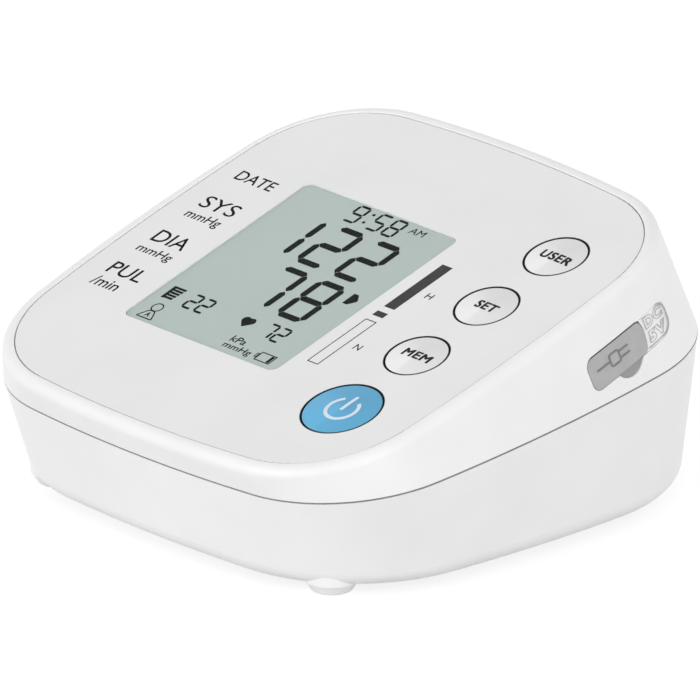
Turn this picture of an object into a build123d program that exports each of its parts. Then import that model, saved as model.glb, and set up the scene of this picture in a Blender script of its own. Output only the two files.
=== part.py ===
from build123d import *
from math import cos, radians, sin, sqrt
import os

# A desktop blood pressure monitor: a wedge-shaped console with a tilted face, a display and four keys.
# Millimetres and degrees. +Z is up, +X to the right and -Y to the front. The origin is on the table,
# under the middle of the whole console.

# ---- housing: three loops of rounded-square outline, from the base up to the rim
SEAM_Y = -0.65           # middle of the seam's outline
SEAM_Z = 31.8
SEAM_TILT = 7.11         # the seam rises to the back
PANEL_Y = -7.08          # middle of the face panel
PANEL_Z = 48.98
PANEL_TILT = 17.1        # the face rises to the back
BASE_Z = 2.4             # underside of the housing, over the feet
BASE_Y = 3.02            # the lower walls stand square to the tilted seam, so the base lies to the back
SEAM_LOOP = dict(half_w=67.7, half_d=65.4, side_r=384, end_r=384, front_r=32.6, back_r=32.6)
RIM_LOOP = dict(half_w=63.8, half_d=63.3, side_r=384, end_r=384, front_r=30.3, back_r=30.3)
BASE_LOOP = dict(half_w=64.7, half_d=64.4, side_r=384, end_r=384, front_r=38, back_r=46)
PANEL_LOOP = dict(half_w=60.7, half_d=59.85, side_r=580, end_r=400, front_r=27, back_r=27)
RIM_PROUD = 0.2          # the rim stands over the panel
RIM_FILLET = 2.5
BASE_FILLET = 4.6
WALL = 2.4
SEAM_GAP = 0.42          # shadow line between the two shells
LIP_HEIGHT = 1.6         # tongue of the lower shell inside the upper one
LIP_INSET = 1.35

# ---- face panel, display window and keys; places are on the panel, from its middle
PANEL_T = 1.0
PANEL_GROOVE = 0.12      # between the panel and the rim
EDGE_SOFT = 0.25         # both edges of that groove are rounded
DECK_T = 2.0
WINDOW_X, WINDOW_Y = -11.42, -1.3
WINDOW_W, WINDOW_H, WINDOW_R = 50.65, 59.25, 2.2
KEY_X = 39.9
KEY_PITCH = 22.13
MEM_Y = -10.25
POWER_Y = -33.87
KEY_R, POWER_R = 7.32, 9.3
KEY_GAP = 0.35           # cap to panel hole
KEY_CROWN = 0.3          # middle of a cap's shallow dome, over the panel face
KEY_EDGE = -0.05         # rim of the dome, just under the panel face
KEY_CHAMFER = 0.12
FLANGE_PROUD = 1.5       # the flange under the deck keeps a cap from coming out
FLANGE_TOP, FLANGE_BASE = -3.25, -4.25
STEM_R, STEM_BASE = 2.2, -5.3
KEY_TRAVEL = 0.8

# ---- display stack and main board, heights along the panel's normal
GLASS_W, GLASS_H, GLASS_T = 54.0, 63.0, 1.1
CONTACT_LEDGE = 2.6      # the front glass runs past the rear one by this
REFLECTOR_T = 1.5
FRAME_W, FRAME_H = 60.0, 70.0
FRAME_LEDGE_T = 1.5
BOARD_TOP, BOARD_T = -10.0, 1.6
BOARD_X = (-52.0, 52.0)
BOARD_Y = (-42.0, 40.0)
SWITCH_SIZE, SWITCH_H = 6.0, 3.5
PLUNGER_R = 1.7
SHAFT_PLAY = 0.05        # running fit of a plunger in its bore

# ---- case screws and board screws
CASE_POSTS = [(-54, -30, 26.0), (54, -30, 26.0), (-54, 31, 33.6), (54, 31, 33.6)]
BOARD_POSTS = [(-47.5, 36), (-47.5, -38), (26, 36), (26, -38)]

# ---- port in the right wall; places are in the panel's frame
PORT_Y, PORT_Z = 25.0, -13.7
FLAP_L, FLAP_H, FLAP_T = 18.8, 7.7, 1.6
FLAP_R = 2.1
FLAP_END_R = 8.5         # the free end of the flap is bowed
FLAP_GAP = 0.15
FLAP_SWING = (0, 0.22, 0.22)  # further room at the free end and the top edge, for the flap's way out
LABEL_L = 8.9            # shallow field behind the flap
LABEL_R = 3.0
LABEL_DEPTH = 0.45
TAB_R, TAB_SHIFT = 4.6, 2.6
TAB_DROP = 2.3           # how far the thumb tab hangs under the flap
TAB_DEPTH = (0.4, 0.95)
SCOOP_DEPTH = 1.1
PORT_HOLE_L, PORT_HOLE_H, PORT_HOLE_R = 10.4, 5.9, 1.2
PLUG_X = 62.3            # inner end of the flap's plug
ANCHOR_Y = PORT_Y - 7.85
RECEPTACLE_X = 61.8
RECEPTACLE_W, RECEPTACLE_H = 7.7, 3.9

# ---- batteries, in a bay under the front half
CELL_R, CELL_L = 7.25, 50.5
CELL_PITCH = 15.1
CELL_Z = 12.4
BAY_X = 30.6
BAY_Y = (-43.0, 13.0)
BAY_TOP = 20.1
BAY_WALL = 1.6
DOOR_T = 2.0
DOOR_LEDGE = 2.2
DOOR_GAP = 0.2
GRIP_RIBS = 5            # thumb grooves across the door, next to its latch

# ---- bare field for a rating plate, in the floor behind the battery door
FIELD_W, FIELD_H, FIELD_R = 56.0, 22.0, 2.0
FIELD_Y, FIELD_DEPTH = 38.0, 0.3

# ---- air system
AIR_Z = 20.5
JUNCTION = (-40.0, 14.0, AIR_Z)
BARB_R, BARB_L = 1.65, 4.2
TUBE_R, TUBE_BORE = 2.9, 1.7
PUMP_Y = 40.0
MOTOR_R, HEAD_R = 12.0, 13.5
SLEEVE_R = 14.0
SOCKET_FACE = -66.9
SOCKET_BORE_R, SOCKET_BORE_L = 2.6, 12.0
SOCKET_SEAT = -62.2      # flat boss inside the left wall, under the clip

FEET = {"foot_front_left": (-45.7, -47.85), "foot_front_right": (45.7, -47.85),
        "foot_back_left": (-44.0, 45.0), "foot_back_right": (44.0, 45.0)}
FOOT_TOP_R, FOOT_BASE_R = 6.0, 4.7

KEYS = {"mem": (MEM_Y, KEY_R), "set": (MEM_Y + KEY_PITCH, KEY_R),
        "user": (MEM_Y + 2 * KEY_PITCH, KEY_R), "power": (POWER_Y, POWER_R)}

UP = (Align.CENTER, Align.CENTER, Align.MIN)


def tilted(y, z, angle):
    """A plane turned about X, with its local Y running up to the back."""
    return Plane(origin=(0, y, z), x_dir=(1, 0, 0), z_dir=(0, -sin(radians(angle)), cos(radians(angle))))


PANEL = tilted(PANEL_Y, PANEL_Z, PANEL_TILT)
SEAM = tilted(SEAM_Y, SEAM_Z, SEAM_TILT)
BASE = Plane(origin=(0, BASE_Y, BASE_Z))


# ---- helpers
def on_panel(shape):
    return PANEL.location * shape


def block(x, y, z):
    """A box between three pairs of limits."""
    middle = [(low + high) / 2 for low, high in (x, y, z)]
    size = [high - low for low, high in (x, y, z)]
    return Pos(*middle) * Box(*size)


def post(radius, x, y, z):
    """An upright cylinder at x, y between two heights."""
    return Pos(x, y, z[0]) * Cylinder(radius, z[1] - z[0], align=UP)


def plate(width, height, radius, x, y, z):
    """An upright rounded plate with its middle at x, y between two heights."""
    return extrude(Pos(x, y, z[0]) * RectangleRounded(width, height, radius), z[1] - z[0])


def rod(radius, start, end):
    """A cylinder between two points."""
    a, b = Vector(*start), Vector(*end)
    return Plane(origin=a, z_dir=b - a).location * Cylinder(radius, (b - a).length, align=UP)


def above(plane, height):
    """Everything over a plane, raised by a height."""
    return plane.location * Pos(0, 0, height) * Box(400, 400, 200, align=UP)


def below(plane, height):
    """Everything under a plane, raised by a height."""
    return plane.location * Pos(0, 0, height - 200) * Box(400, 400, 200, align=UP)


def corner(half_w, half_d, side_r, end_r, r):
    """The two tangent points and the middle of a corner arc between a side arc and an end arc."""
    side_c, end_c = Vector(half_w - side_r, 0), Vector(0, half_d - end_r)
    gap = end_c - side_c
    reach_side, reach_end = side_r - r, end_r - r
    along = (reach_side**2 - reach_end**2 + gap.length**2) / (2 * gap.length)
    across = sqrt(reach_side**2 - along**2)
    unit = gap.normalized()
    centre = side_c + unit * along + Vector(-unit.Y, unit.X) * across
    on_side = side_c + (centre - side_c).normalized() * side_r
    on_end = end_c + (centre - end_c).normalized() * end_r
    middle = centre + ((on_side + on_end) * 0.5 - centre).normalized() * r
    return on_side, middle, on_end


def outline(half_w, half_d, side_r, end_r, front_r, back_r, inset=0.0):
    """A rounded square of eight tangent arcs: four long ones and four corners."""
    half_w, half_d = half_w - inset, half_d - inset
    side_r, end_r = side_r - inset, end_r - inset
    back = corner(half_w, half_d, side_r, end_r, back_r - inset)
    front = corner(half_w, half_d, side_r, end_r, front_r - inset)

    def turned(points, sx, sy):
        return [(p.X * sx, p.Y * sy) for p in points]

    back_right, back_left = turned(back, 1, 1), turned(back, -1, 1)[::-1]
    front_left, front_right = turned(front, -1, -1), turned(front, 1, -1)[::-1]
    arcs = [
        (front_right[2], (half_w, 0), back_right[0]),
        back_right,
        (back_right[2], (0, half_d), back_left[0]),
        back_left,
        (back_left[2], (-half_w, 0), front_left[0]),
        front_left,
        (front_left[2], (0, -half_d), front_right[0]),
        front_right,
    ]
    return make_face([ThreePointArc(*arc) for arc in arcs])


def upper_form(inset=0.0):
    """The closed form between the seam and the rim, or one inside it by a wall's thickness."""
    low = SEAM.location * outline(**SEAM_LOOP, inset=inset)
    high = PANEL.offset(RIM_PROUD).location * outline(**RIM_LOOP, inset=inset)
    return loft([low, high], ruled=True)


def lower_form(inset=0.0):
    """The closed form between the base and the seam, with its bottom edge rounded."""
    low = BASE.offset(inset).location * outline(**BASE_LOOP, inset=inset)
    high = SEAM.location * outline(**SEAM_LOOP, inset=inset)
    form = loft([low, high], ruled=True)
    bottom = form.faces().sort_by(Axis.Z)[0]
    return fillet(bottom.edges(), BASE_FILLET - inset)


# ---- upper housing
def port_sketch(length, height, radius, x, y=PORT_Y, z=PORT_Z):
    """A rounded rectangle in the right wall, seen from the right."""
    wall = Plane(origin=(x, y, z), x_dir=(0, 1, 0), z_dir=(1, 0, 0))
    return wall.location * RectangleRounded(length, height, radius)


def flap_sketch(grow, x):
    """The flap's outline, grown by a gap: a rounded rectangle with a bowed free end."""
    end = Plane(origin=(x, PORT_Y + FLAP_L / 2 - FLAP_END_R, PORT_Z), x_dir=(0, 1, 0), z_dir=(1, 0, 0))
    reach = block((x - 1, x + 1), (PORT_Y - FLAP_L, PORT_Y + 5), (PORT_Z - FLAP_H, PORT_Z + FLAP_H))
    box = port_sketch(FLAP_L + 2 * grow, FLAP_H + 2 * grow, FLAP_R + grow, x)
    return (box & (end.location * Circle(FLAP_END_R + grow))) + (box & reach)


def tab_sketch(grow, x):
    """The thumb tab's disc, which hangs out under the lower edge of the flap."""
    wall = Plane(origin=(x, PORT_Y + TAB_SHIFT, PORT_Z - FLAP_H / 2 - TAB_DROP + TAB_R),
                 x_dir=(0, 1, 0), z_dir=(1, 0, 0))
    return wall.location * Circle(TAB_R + grow)


def wall_skin(low, high):
    """The layer of the right wall between two depths under its outer face."""
    return (upper_form(low) - upper_form(high)) & block((50, 80), (-60, 60), (0, 80))


def port_recess():
    """What the port takes out of the right wall: the flap's seat, the label field and the plug's hole."""
    seat = extrude(flap_sketch(FLAP_GAP, 55), 20)
    seat = on_panel(seat + Pos(*FLAP_SWING) * seat) & wall_skin(-2, FLAP_T + FLAP_GAP)
    scoop = extrude(tab_sketch(FLAP_GAP, 55), 20)
    scoop = on_panel(scoop + Pos(*FLAP_SWING) * scoop) & wall_skin(-2, SCOOP_DEPTH)
    field = port_sketch(FLAP_L + LABEL_L + 2 * FLAP_GAP, FLAP_H + 2 * FLAP_GAP, LABEL_R, 55,
                        PORT_Y + LABEL_L / 2)
    field = on_panel(extrude(field, 20)) & wall_skin(-2, LABEL_DEPTH)
    hole = on_panel(extrude(port_sketch(PORT_HOLE_L, PORT_HOLE_H, PORT_HOLE_R, 58), 12))
    slot = on_panel(block((58, 70), (ANCHOR_Y - 0.6, ANCHOR_Y + 0.6), (PORT_Z - 2.5, PORT_Z + 2.5)))
    return [seat, scoop, field, hole, slot]


def rimmed_form():
    """The upper form with its rim rounded outside, the panel's recess, and a soft edge round the recess."""
    outer = upper_form()
    rim = outer.faces().filter_by(lambda face: face.normal_at().dot(PANEL.z_dir) > 0.999)
    outer = fillet(rim.edges(), RIM_FILLET)
    outer -= on_panel(Pos(0, 0, -PANEL_T) * extrude(outline(**PANEL_LOOP, inset=-PANEL_GROOVE), 10))
    level = PANEL.offset(RIM_PROUD)
    on_rim = [edge for edge in outer.edges() if abs(level.to_local_coords(edge.center()).Z) < 0.01]
    on_rim = [edge for edge in on_rim if abs(level.to_local_coords(edge @ 0).Z) < 0.01]
    inner = sorted(on_rim, key=lambda edge: (edge.center() - level.origin).length)[:8]
    return fillet(inner, EDGE_SOFT)


def deck_openings():
    """The openings in the deck for the display and the keys."""
    cuts = [plate(GLASS_W + 0.4, GLASS_H + 0.4, 0.5, WINDOW_X, WINDOW_Y, (-PANEL_T - DECK_T - 1, 1))]
    for y, radius in KEYS.values():
        cuts.append(post(radius + KEY_GAP + 0.05, KEY_X, y, (-PANEL_T - DECK_T - 1, 1)))
    return [on_panel(cut) for cut in cuts]


def upper_housing():
    cavity = upper_form(WALL) & below(PANEL, -PANEL_T - DECK_T)
    shell = rimmed_form() - cavity - below(SEAM, SEAM_GAP / 2)
    shell -= upper_form(LIP_INSET - 0.15) & below(SEAM, LIP_HEIGHT + 0.2)
    inside = upper_form(WALL - 0.3) & below(PANEL, -PANEL_T - DECK_T + 0.3)
    for x, y, z in CASE_POSTS:
        boss = post(4.2, x, y, (z, 80)) & (inside + below(SEAM, 0))
        shell += boss
        shell -= post(1.5, x, y, (z - 1, z + 9))
    for x, y in BOARD_POSTS:
        shell += on_panel(post(2.8, x, y, (BOARD_TOP, -PANEL_T - DECK_T + 0.3)))
        shell -= on_panel(post(0.95, x, y, (BOARD_TOP - 1, -PANEL_T - DECK_T - 0.5)))
    for cut in deck_openings() + port_recess():
        shell -= cut
    return shell


# ---- lower housing
def lower_housing():
    lip_zone = above(SEAM, -1) & below(SEAM, LIP_HEIGHT)
    lip = (upper_form(LIP_INSET) - upper_form(WALL)) & lip_zone
    shell = lower_form() - lower_form(WALL)
    shell -= above(SEAM, -SEAM_GAP / 2) - lower_form(LIP_INSET)
    shell += (lower_form(LIP_INSET) - lower_form(WALL)) & above(SEAM, -6)
    shell += lip
    inside = lower_form(WALL - 0.3)
    for x, y, z in CASE_POSTS:
        shell += post(4.6, x, y, (BASE_Z + 1, z)) & (inside + above(SEAM, -1))
        shell -= post(3.1, x, y, (0, z - 6))
        shell -= post(1.6, x, y, (z - 7, z + 1))
    for x, y in FEET.values():
        shell += post(FOOT_TOP_R + 0.3, x, y, (BASE_Z, BASE_Z + 2.6))
        shell -= post(2.05, x, y, (0, 12))
    shell -= plate(FIELD_W, FIELD_H, FIELD_R, 0, FIELD_Y, (0, BASE_Z + FIELD_DEPTH))
    shell += bay_walls()
    shell -= bay_hollow()
    shell += pump_cradle() & inside
    shell += valve_cradle()
    shell += rod(7.6, (SOCKET_SEAT - 2.2, JUNCTION[1], AIR_Z), (SOCKET_SEAT, JUNCTION[1], AIR_Z))
    shell -= rod(4.55, (-80, JUNCTION[1], AIR_Z), (-58, JUNCTION[1], AIR_Z))
    shell -= rod(6.15, (-80, JUNCTION[1], AIR_Z), (SOCKET_FACE + 1.6, JUNCTION[1], AIR_Z))
    return shell


def bay_walls():
    """The battery bay's walls and roof, with a thicker foot that takes the door's seat."""
    x = BAY_X + BAY_WALL
    y0, y1 = BAY_Y[0] - BAY_WALL, BAY_Y[1] + BAY_WALL
    walls = block((-x, x), (y0, y1), (BASE_Z, BAY_TOP + BAY_WALL))
    foot = block((-x - 2.4, x + 2.4), (y0 - 4.4, y1 + 2.0), (BASE_Z, 8.6))
    recess_wall = block((-9.6, 9.6), (y1, y1 + 11), (BASE_Z, 9.6))
    return walls + foot + recess_wall


def bay_hollow():
    """The bay itself, the door's seat round it, the hinge slots and the finger recess."""
    bay = block((-BAY_X, BAY_X), BAY_Y, (0, BAY_TOP))
    seat = block((-BAY_X - DOOR_LEDGE, BAY_X + DOOR_LEDGE), (BAY_Y[0] - DOOR_LEDGE, BAY_Y[1] + DOOR_LEDGE),
                 (0, BASE_Z + DOOR_T + DOOR_GAP))
    hollow = bay + seat
    for x in (-15.1, 15.1):
        hollow += block((x - 3.3, x + 3.3), (BAY_Y[0] - 5.0, BAY_Y[0] + 1), (BASE_Z + 1.6, 7.4))
    finger = block((-8, 8), (BAY_Y[1] - 1, BAY_Y[1] + 11), (0, 8.0))
    return hollow + finger


def pump_cradle():
    """Ribs that carry the pump, and the two posts of its clamp."""
    ribs = Part()
    for x, radius in ((-18, HEAD_R), (7, SLEEVE_R), (15, SLEEVE_R)):
        rib = block((x - 1, x + 1), (PUMP_Y - 15, PUMP_Y + 15), (BASE_Z + 1, AIR_Z - 5))
        ribs += rib - rod(radius + 0.05, (x - 2, PUMP_Y, AIR_Z), (x + 2, PUMP_Y, AIR_Z))
    for y in (PUMP_Y - 18, PUMP_Y + 18):
        ribs += post(3.4, 11, y, (BASE_Z + 1, AIR_Z))
        ribs -= post(1.05, 11, y, (AIR_Z - 9, AIR_Z + 1))
    return ribs


def valve_cradle():
    """Two forked ribs that hold the exhaust valve."""
    ribs = Part()
    for y in (-18, -9):
        rib = block((-48.4, -34.0), (y - 0.8, y + 0.8), (BASE_Z + 1, AIR_Z - 1))
        ribs += rib - block((-46.55, -33.45), (y - 2, y + 2), (AIR_Z - 6.55, AIR_Z + 10))
    return ribs


# ---- face
def face_panel():
    body = Pos(0, 0, -PANEL_T) * extrude(outline(**PANEL_LOOP), PANEL_T)
    body = fillet(body.faces().sort_by(Axis.Z)[-1].edges(), EDGE_SOFT)
    body -= plate(WINDOW_W, WINDOW_H, WINDOW_R, WINDOW_X, WINDOW_Y, (-2, 1))
    for y, radius in KEYS.values():
        body -= post(radius + KEY_GAP, KEY_X, y, (-2, 1))
    return on_panel(body)


def display_window():
    return on_panel(plate(WINDOW_W - 0.2, WINDOW_H - 0.2, WINDOW_R - 0.1, WINDOW_X, WINDOW_Y,
                          (-PANEL_T, -0.15)))


def key_cap(y, radius):
    """A domed cap with a flange under the deck and a stem that stands on its switch."""
    rim = radius - KEY_CHAMFER
    halfway = KEY_CROWN - (KEY_CROWN - KEY_EDGE) / 4
    crown = ThreePointArc((0, KEY_CROWN), (rim / 2, halfway), (rim, KEY_EDGE))
    under = -1.2
    rest = Polyline(
        (rim, KEY_EDGE), (radius, KEY_EDGE - KEY_CHAMFER), (radius, FLANGE_TOP),
        (radius + FLANGE_PROUD, FLANGE_TOP), (radius + FLANGE_PROUD, FLANGE_BASE),
        (radius - 1.2, FLANGE_BASE), (radius - 1.2, under), (STEM_R, under), (STEM_R, STEM_BASE),
        (0, STEM_BASE), (0, KEY_CROWN))
    profile = Plane.XZ * make_face([crown, rest])
    return on_panel(Pos(KEY_X, y, 0) * revolve(profile, Axis.Z))


def plunger(y):
    """The moving pin of a switch, under its key's stem."""
    return on_panel(post(PLUNGER_R, KEY_X, y, (STEM_BASE - 2.3, STEM_BASE)))


def switch_bodies():
    bodies = []
    top = BOARD_TOP + SWITCH_H
    half = SWITCH_SIZE / 2
    for y, _ in KEYS.values():
        body = block((KEY_X - half, KEY_X + half), (y - half, y + half), (BOARD_TOP, top))
        body -= post(PLUNGER_R + SHAFT_PLAY, KEY_X, y, (STEM_BASE - 2.3 - KEY_TRAVEL - 0.2, top + 1))
        bodies.append(on_panel(body))
    return bodies


# ---- display stack
def glass_y(short):
    """Limits of a glass along the panel, shortened at the front for the contact ledge."""
    return (WINDOW_Y - GLASS_H / 2 + short, WINDOW_Y + GLASS_H / 2)


def glass_x():
    return (WINDOW_X - GLASS_W / 2, WINDOW_X + GLASS_W / 2)


def lcd_front_glass():
    return on_panel(block(glass_x(), glass_y(0), (-PANEL_T - GLASS_T, -PANEL_T)))


def lcd_rear_glass():
    top = -PANEL_T - GLASS_T
    return on_panel(block(glass_x(), glass_y(CONTACT_LEDGE), (top - GLASS_T, top)))


def lcd_reflector():
    top = -PANEL_T - 2 * GLASS_T
    return on_panel(block(glass_x(), glass_y(CONTACT_LEDGE), (top - REFLECTOR_T, top)))


def lcd_frame():
    """The holder on the board: a walled tray with a ledge under the glass and a slot for the strip."""
    top, ledge = -PANEL_T - DECK_T, -PANEL_T - 2 * GLASS_T - REFLECTOR_T
    body = plate(FRAME_W, FRAME_H, 1.5, WINDOW_X, WINDOW_Y, (BOARD_TOP, top))
    body -= plate(GLASS_W + 0.4, GLASS_H + 0.4, 0.6, WINDOW_X, WINDOW_Y, (ledge, top + 1))
    body -= plate(GLASS_W - 6, GLASS_H - 9, 1.0, WINDOW_X, WINDOW_Y + 1, (BOARD_TOP - 1, top))
    body -= plate(GLASS_W, GLASS_H, 0.6, WINDOW_X, WINDOW_Y, (BOARD_TOP - 1, ledge - FRAME_LEDGE_T))
    x0, x1 = glass_x()
    y0 = glass_y(0)[0] - 0.2
    body -= block((x0 + 2, x1 - 2), (y0, y0 + CONTACT_LEDGE), (BOARD_TOP - 1, top))
    return on_panel(body)


def elastomer_strip():
    """The conductive rubber strip from the board's pads to the front glass."""
    x0, x1 = glass_x()
    y0 = glass_y(0)[0]
    return on_panel(block((x0 + 2.2, x1 - 2.2), (y0, y0 + 2.2), (BOARD_TOP, -PANEL_T - GLASS_T)))


# ---- board and what is on it
def main_board():
    top, base = BOARD_TOP, BOARD_TOP - BOARD_T
    middle = [(low + high) / 2 for low, high in (BOARD_X, BOARD_Y)]
    body = plate(BOARD_X[1] - BOARD_X[0], BOARD_Y[1] - BOARD_Y[0], 3, *middle, (base, top))
    body += block((BOARD_X[1] - 4, 59.5), (PORT_Y - 6, PORT_Y + 4.4), (base, top))
    body = on_panel(body)
    for x, y, _ in CASE_POSTS:
        body -= post(5.4, x, y, (0, 80))
    for x, y in BOARD_POSTS:
        body -= on_panel(post(1.2, x, y, (base - 1, top + 1)))
    return body


def board_screws():
    """Small pan-head screws up into the housing's bosses."""
    base = BOARD_TOP - BOARD_T
    screws = []
    for x, y in BOARD_POSTS:
        screw = post(2.0, x, y, (base - 1.4, base)) + post(0.9, x, y, (base - 0.1, BOARD_TOP + 4))
        screw -= block((x - 1.2, x + 1.2), (y - 0.3, y + 0.3), (base - 2, base - 0.7))
        screw -= block((x - 0.3, x + 0.3), (y - 1.2, y + 1.2), (base - 2, base - 0.7))
        screws.append(on_panel(screw))
    return screws


def processor_chip():
    base = BOARD_TOP - BOARD_T
    return on_panel(plate(14, 14, 0.4, 2, 8, (base - 1.5, base)))


def buzzer():
    base = BOARD_TOP - BOARD_T
    body = post(6, 20, -22, (base - 4.5, base)) - post(1.1, 20, -22, (base - 5, base - 3))
    return on_panel(body)


def sensor_place():
    """Where the upright tube from the junction meets the sensor's nozzle, on the panel's own axes."""
    knee = Vector(JUNCTION[0], JUNCTION[1], 30.5)
    return knee, PANEL.to_local_coords(knee)


def pressure_sensor():
    _, local = sensor_place()
    base = BOARD_TOP - BOARD_T
    body = plate(7.6, 7.6, 0.6, local.X, local.Y, (base - 3.4, base))
    body += post(BARB_R, local.X, local.Y, (base - 9.4, base - 3))
    body -= post(0.6, local.X, local.Y, (base - 10, base - 2.5))
    return on_panel(body)


def usb_receptacle():
    """A small five-pin receptacle under the board's tab, with its tongue."""
    base = BOARD_TOP - BOARD_T
    middle = base - RECEPTACLE_H / 2
    half_w, half_h = RECEPTACLE_W / 2, RECEPTACLE_H / 2
    x0, x1 = RECEPTACLE_X - 5.8, RECEPTACLE_X
    shell = block((x0, x1), (PORT_Y - half_w, PORT_Y + half_w), (base - RECEPTACLE_H, base))
    shell -= block((x0 + 0.6, x1 + 1), (PORT_Y - half_w + 0.4, PORT_Y + half_w - 0.4),
                   (middle - half_h + 0.4, middle + half_h - 0.4))
    shell += block((x0 + 0.4, x1 - 0.8), (PORT_Y - 2.0, PORT_Y + 2.0), (middle - 0.1, middle + 0.6))
    return on_panel(shell)


# ---- port cover
def port_cover():
    """The rubber flap: a piece of the wall's own skin, a thumb tab and a hollow plug behind."""
    prism = extrude(flap_sketch(0, 55), 20)
    tab = extrude(tab_sketch(0, 55), 20) - prism
    flap = on_panel(prism) & wall_skin(0, FLAP_T)
    flap += on_panel(tab) & wall_skin(*TAB_DEPTH)
    length, height, y = PORT_HOLE_L - 1.5, PORT_HOLE_H - 0.9, PORT_Y - 0.3
    plug = port_sketch(length, height, 1.0, PLUG_X, y)
    plug -= port_sketch(length - 2.4, height - 2.4, 0.6, PLUG_X, y)
    flap += on_panel(extrude(plug, 8)) & upper_form(FLAP_T - 0.05)
    return flap


def port_cover_anchor():
    """The flap's tail: a stem through the wall with a head behind it."""
    stem = block((58, 70), (ANCHOR_Y - 0.5, ANCHOR_Y + 0.5), (PORT_Z - 2.4, PORT_Z + 2.4))
    head = block((58, 70), (ANCHOR_Y - 1.3, ANCHOR_Y + 1.3), (PORT_Z - 3.2, PORT_Z + 3.2))
    stem = on_panel(stem) & wall_skin(FLAP_T + FLAP_GAP, WALL + 0.3)
    return stem + (on_panel(head) & wall_skin(WALL, WALL + 1.2))


# ---- batteries
def cell_places():
    """Each cell's middle x and which way its positive end points along y: -1 front, +1 back."""
    return [((i - 1.5) * CELL_PITCH, -1 if i % 2 == 0 else 1) for i in range(4)]


def cell_span(way):
    """The front and back ends of a cell whose positive end lies 1.4 from its own wall."""
    if way < 0:
        return BAY_Y[0] + 1.4, BAY_Y[0] + 1.4 + CELL_L
    return BAY_Y[1] - 1.4 - CELL_L, BAY_Y[1] - 1.4


def battery_cell(x, way):
    front, back = cell_span(way)
    nub = 1.2
    positive, negative = (front, back) if way < 0 else (back, front)
    body = rod(CELL_R, (x, positive - way * nub, CELL_Z), (x, negative, CELL_Z))
    body = chamfer(body.edges(), 0.4)
    return body + rod(2.7, (x, positive, CELL_Z), (x, positive - way * (nub + 1), CELL_Z))


def contact(x, y_wall, way, positive):
    """A sheet contact on an end wall: a bump for a positive end, a bowed leaf for a negative one."""
    t = 0.4
    if positive:
        return rod(2.2, (x, y_wall, CELL_Z), (x, y_wall + way * 1.4, CELL_Z))
    reach = 4.1
    leaf = Polyline((0, -4), (reach - 0.6, -0.6), (reach, 0), (reach - 0.6, 0.6), (0, 4),
                    (0, 4 - t * 2), (reach - 0.9, 0.2), (reach - 0.9, -0.2), (0, -4 + t * 2), (0, -4))
    side = Plane(origin=(x - 2.5, y_wall, CELL_Z), x_dir=(0, way, 0), z_dir=(1, 0, 0))
    return extrude(side.location * make_face(leaf), 5)


def end_plate(x0, x1, back):
    """The flat of a contact against the front or back wall of the bay."""
    y = (BAY_Y[1] - 0.4, BAY_Y[1]) if back else (BAY_Y[0], BAY_Y[0] + 0.4)
    return block((x0, x1), y, (CELL_Z - 5, CELL_Z + 5))


def contact_group(cells, back):
    """One sheet part that joins the ends of one or two neighbouring cells."""
    xs = [x for x, _ in cells]
    group = end_plate(min(xs) - 4.2, max(xs) + 4.2, back)
    y_wall, inward = (BAY_Y[1], -1) if back else (BAY_Y[0], 1)
    for x, way in cells:
        group += contact(x, y_wall, inward, positive=(way > 0) == back)
    return group


def battery_bridges():
    cells = cell_places()
    return [contact_group(cells[0:2], True), contact_group(cells[2:4], True),
            contact_group(cells[1:3], False)]


def battery_terminals():
    cells = cell_places()
    return [contact_group(cells[0:1], False), contact_group(cells[3:4], False)]


def battery_door():
    """The door: a plate with two hooks at its front edge and a sprung latch at its back edge."""
    x = BAY_X + DOOR_LEDGE - DOOR_GAP
    y0, y1 = BAY_Y[0] - DOOR_LEDGE + DOOR_GAP, BAY_Y[1] + DOOR_LEDGE - DOOR_GAP
    door = block((-x, x), (y0, y1), (BASE_Z, BASE_Z + DOOR_T))
    top = BASE_Z + DOOR_T
    for rib_x in (-CELL_PITCH, 0, CELL_PITCH):
        door += block((rib_x - 0.6, rib_x + 0.6), (BAY_Y[0] + 6, BAY_Y[1] - 6), (top - 0.2, top + 1.0))
    for hook_x in (-15.1, 15.1):
        door += block((hook_x - 3, hook_x + 3), (y0, BAY_Y[0] + 0.5), (top - 0.2, top + 1.2))
        door += block((hook_x - 3, hook_x + 3), (y0 - 2.0, y0 + 1), (top + 0.2, top + 1.2))
    for row in range(GRIP_RIBS):
        y = y1 - 8.5 - row * 1.8
        door -= block((-8, 8), (y - 0.45, y + 0.45), (0, BASE_Z + 0.5))
    door -= block((-6.5, 6.5), (y1 - 4.5, y1 + 1), (0, top + 1))
    latch = block((-6, 6), (y1 - 5.5, y1 - 3.3), (BASE_Z, top))
    latch += block((-6, 6), (y1 - 4.5, y1 - 3.3), (BASE_Z, 7.4))
    latch += block((-6, 6), (y1 - 4.5, y1 + 2.2), (6.4, 7.4))
    latch += block((-6, 6), (y1 + 1.0, y1 + 2.2), (BASE_Z + 0.4, 7.4))
    latch += block((-6, 6), (y1 + 1.0, y1 + 5.6), (BASE_Z + 0.4, BASE_Z + 1.6))
    return door + latch


# ---- air system
def pump_motor():
    body = rod(MOTOR_R, (-3, PUMP_Y, AIR_Z), (26, PUMP_Y, AIR_Z))
    body = fillet(body.edges().sort_by(Axis.X)[-1:], 1.2)
    body += rod(4.5, (25, PUMP_Y, AIR_Z), (27.6, PUMP_Y, AIR_Z))
    for y in (-6, 6):
        body += block((25, 30), (PUMP_Y + y - 1.2, PUMP_Y + y + 1.2), (AIR_Z - 0.3, AIR_Z + 0.3))
    return body


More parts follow.
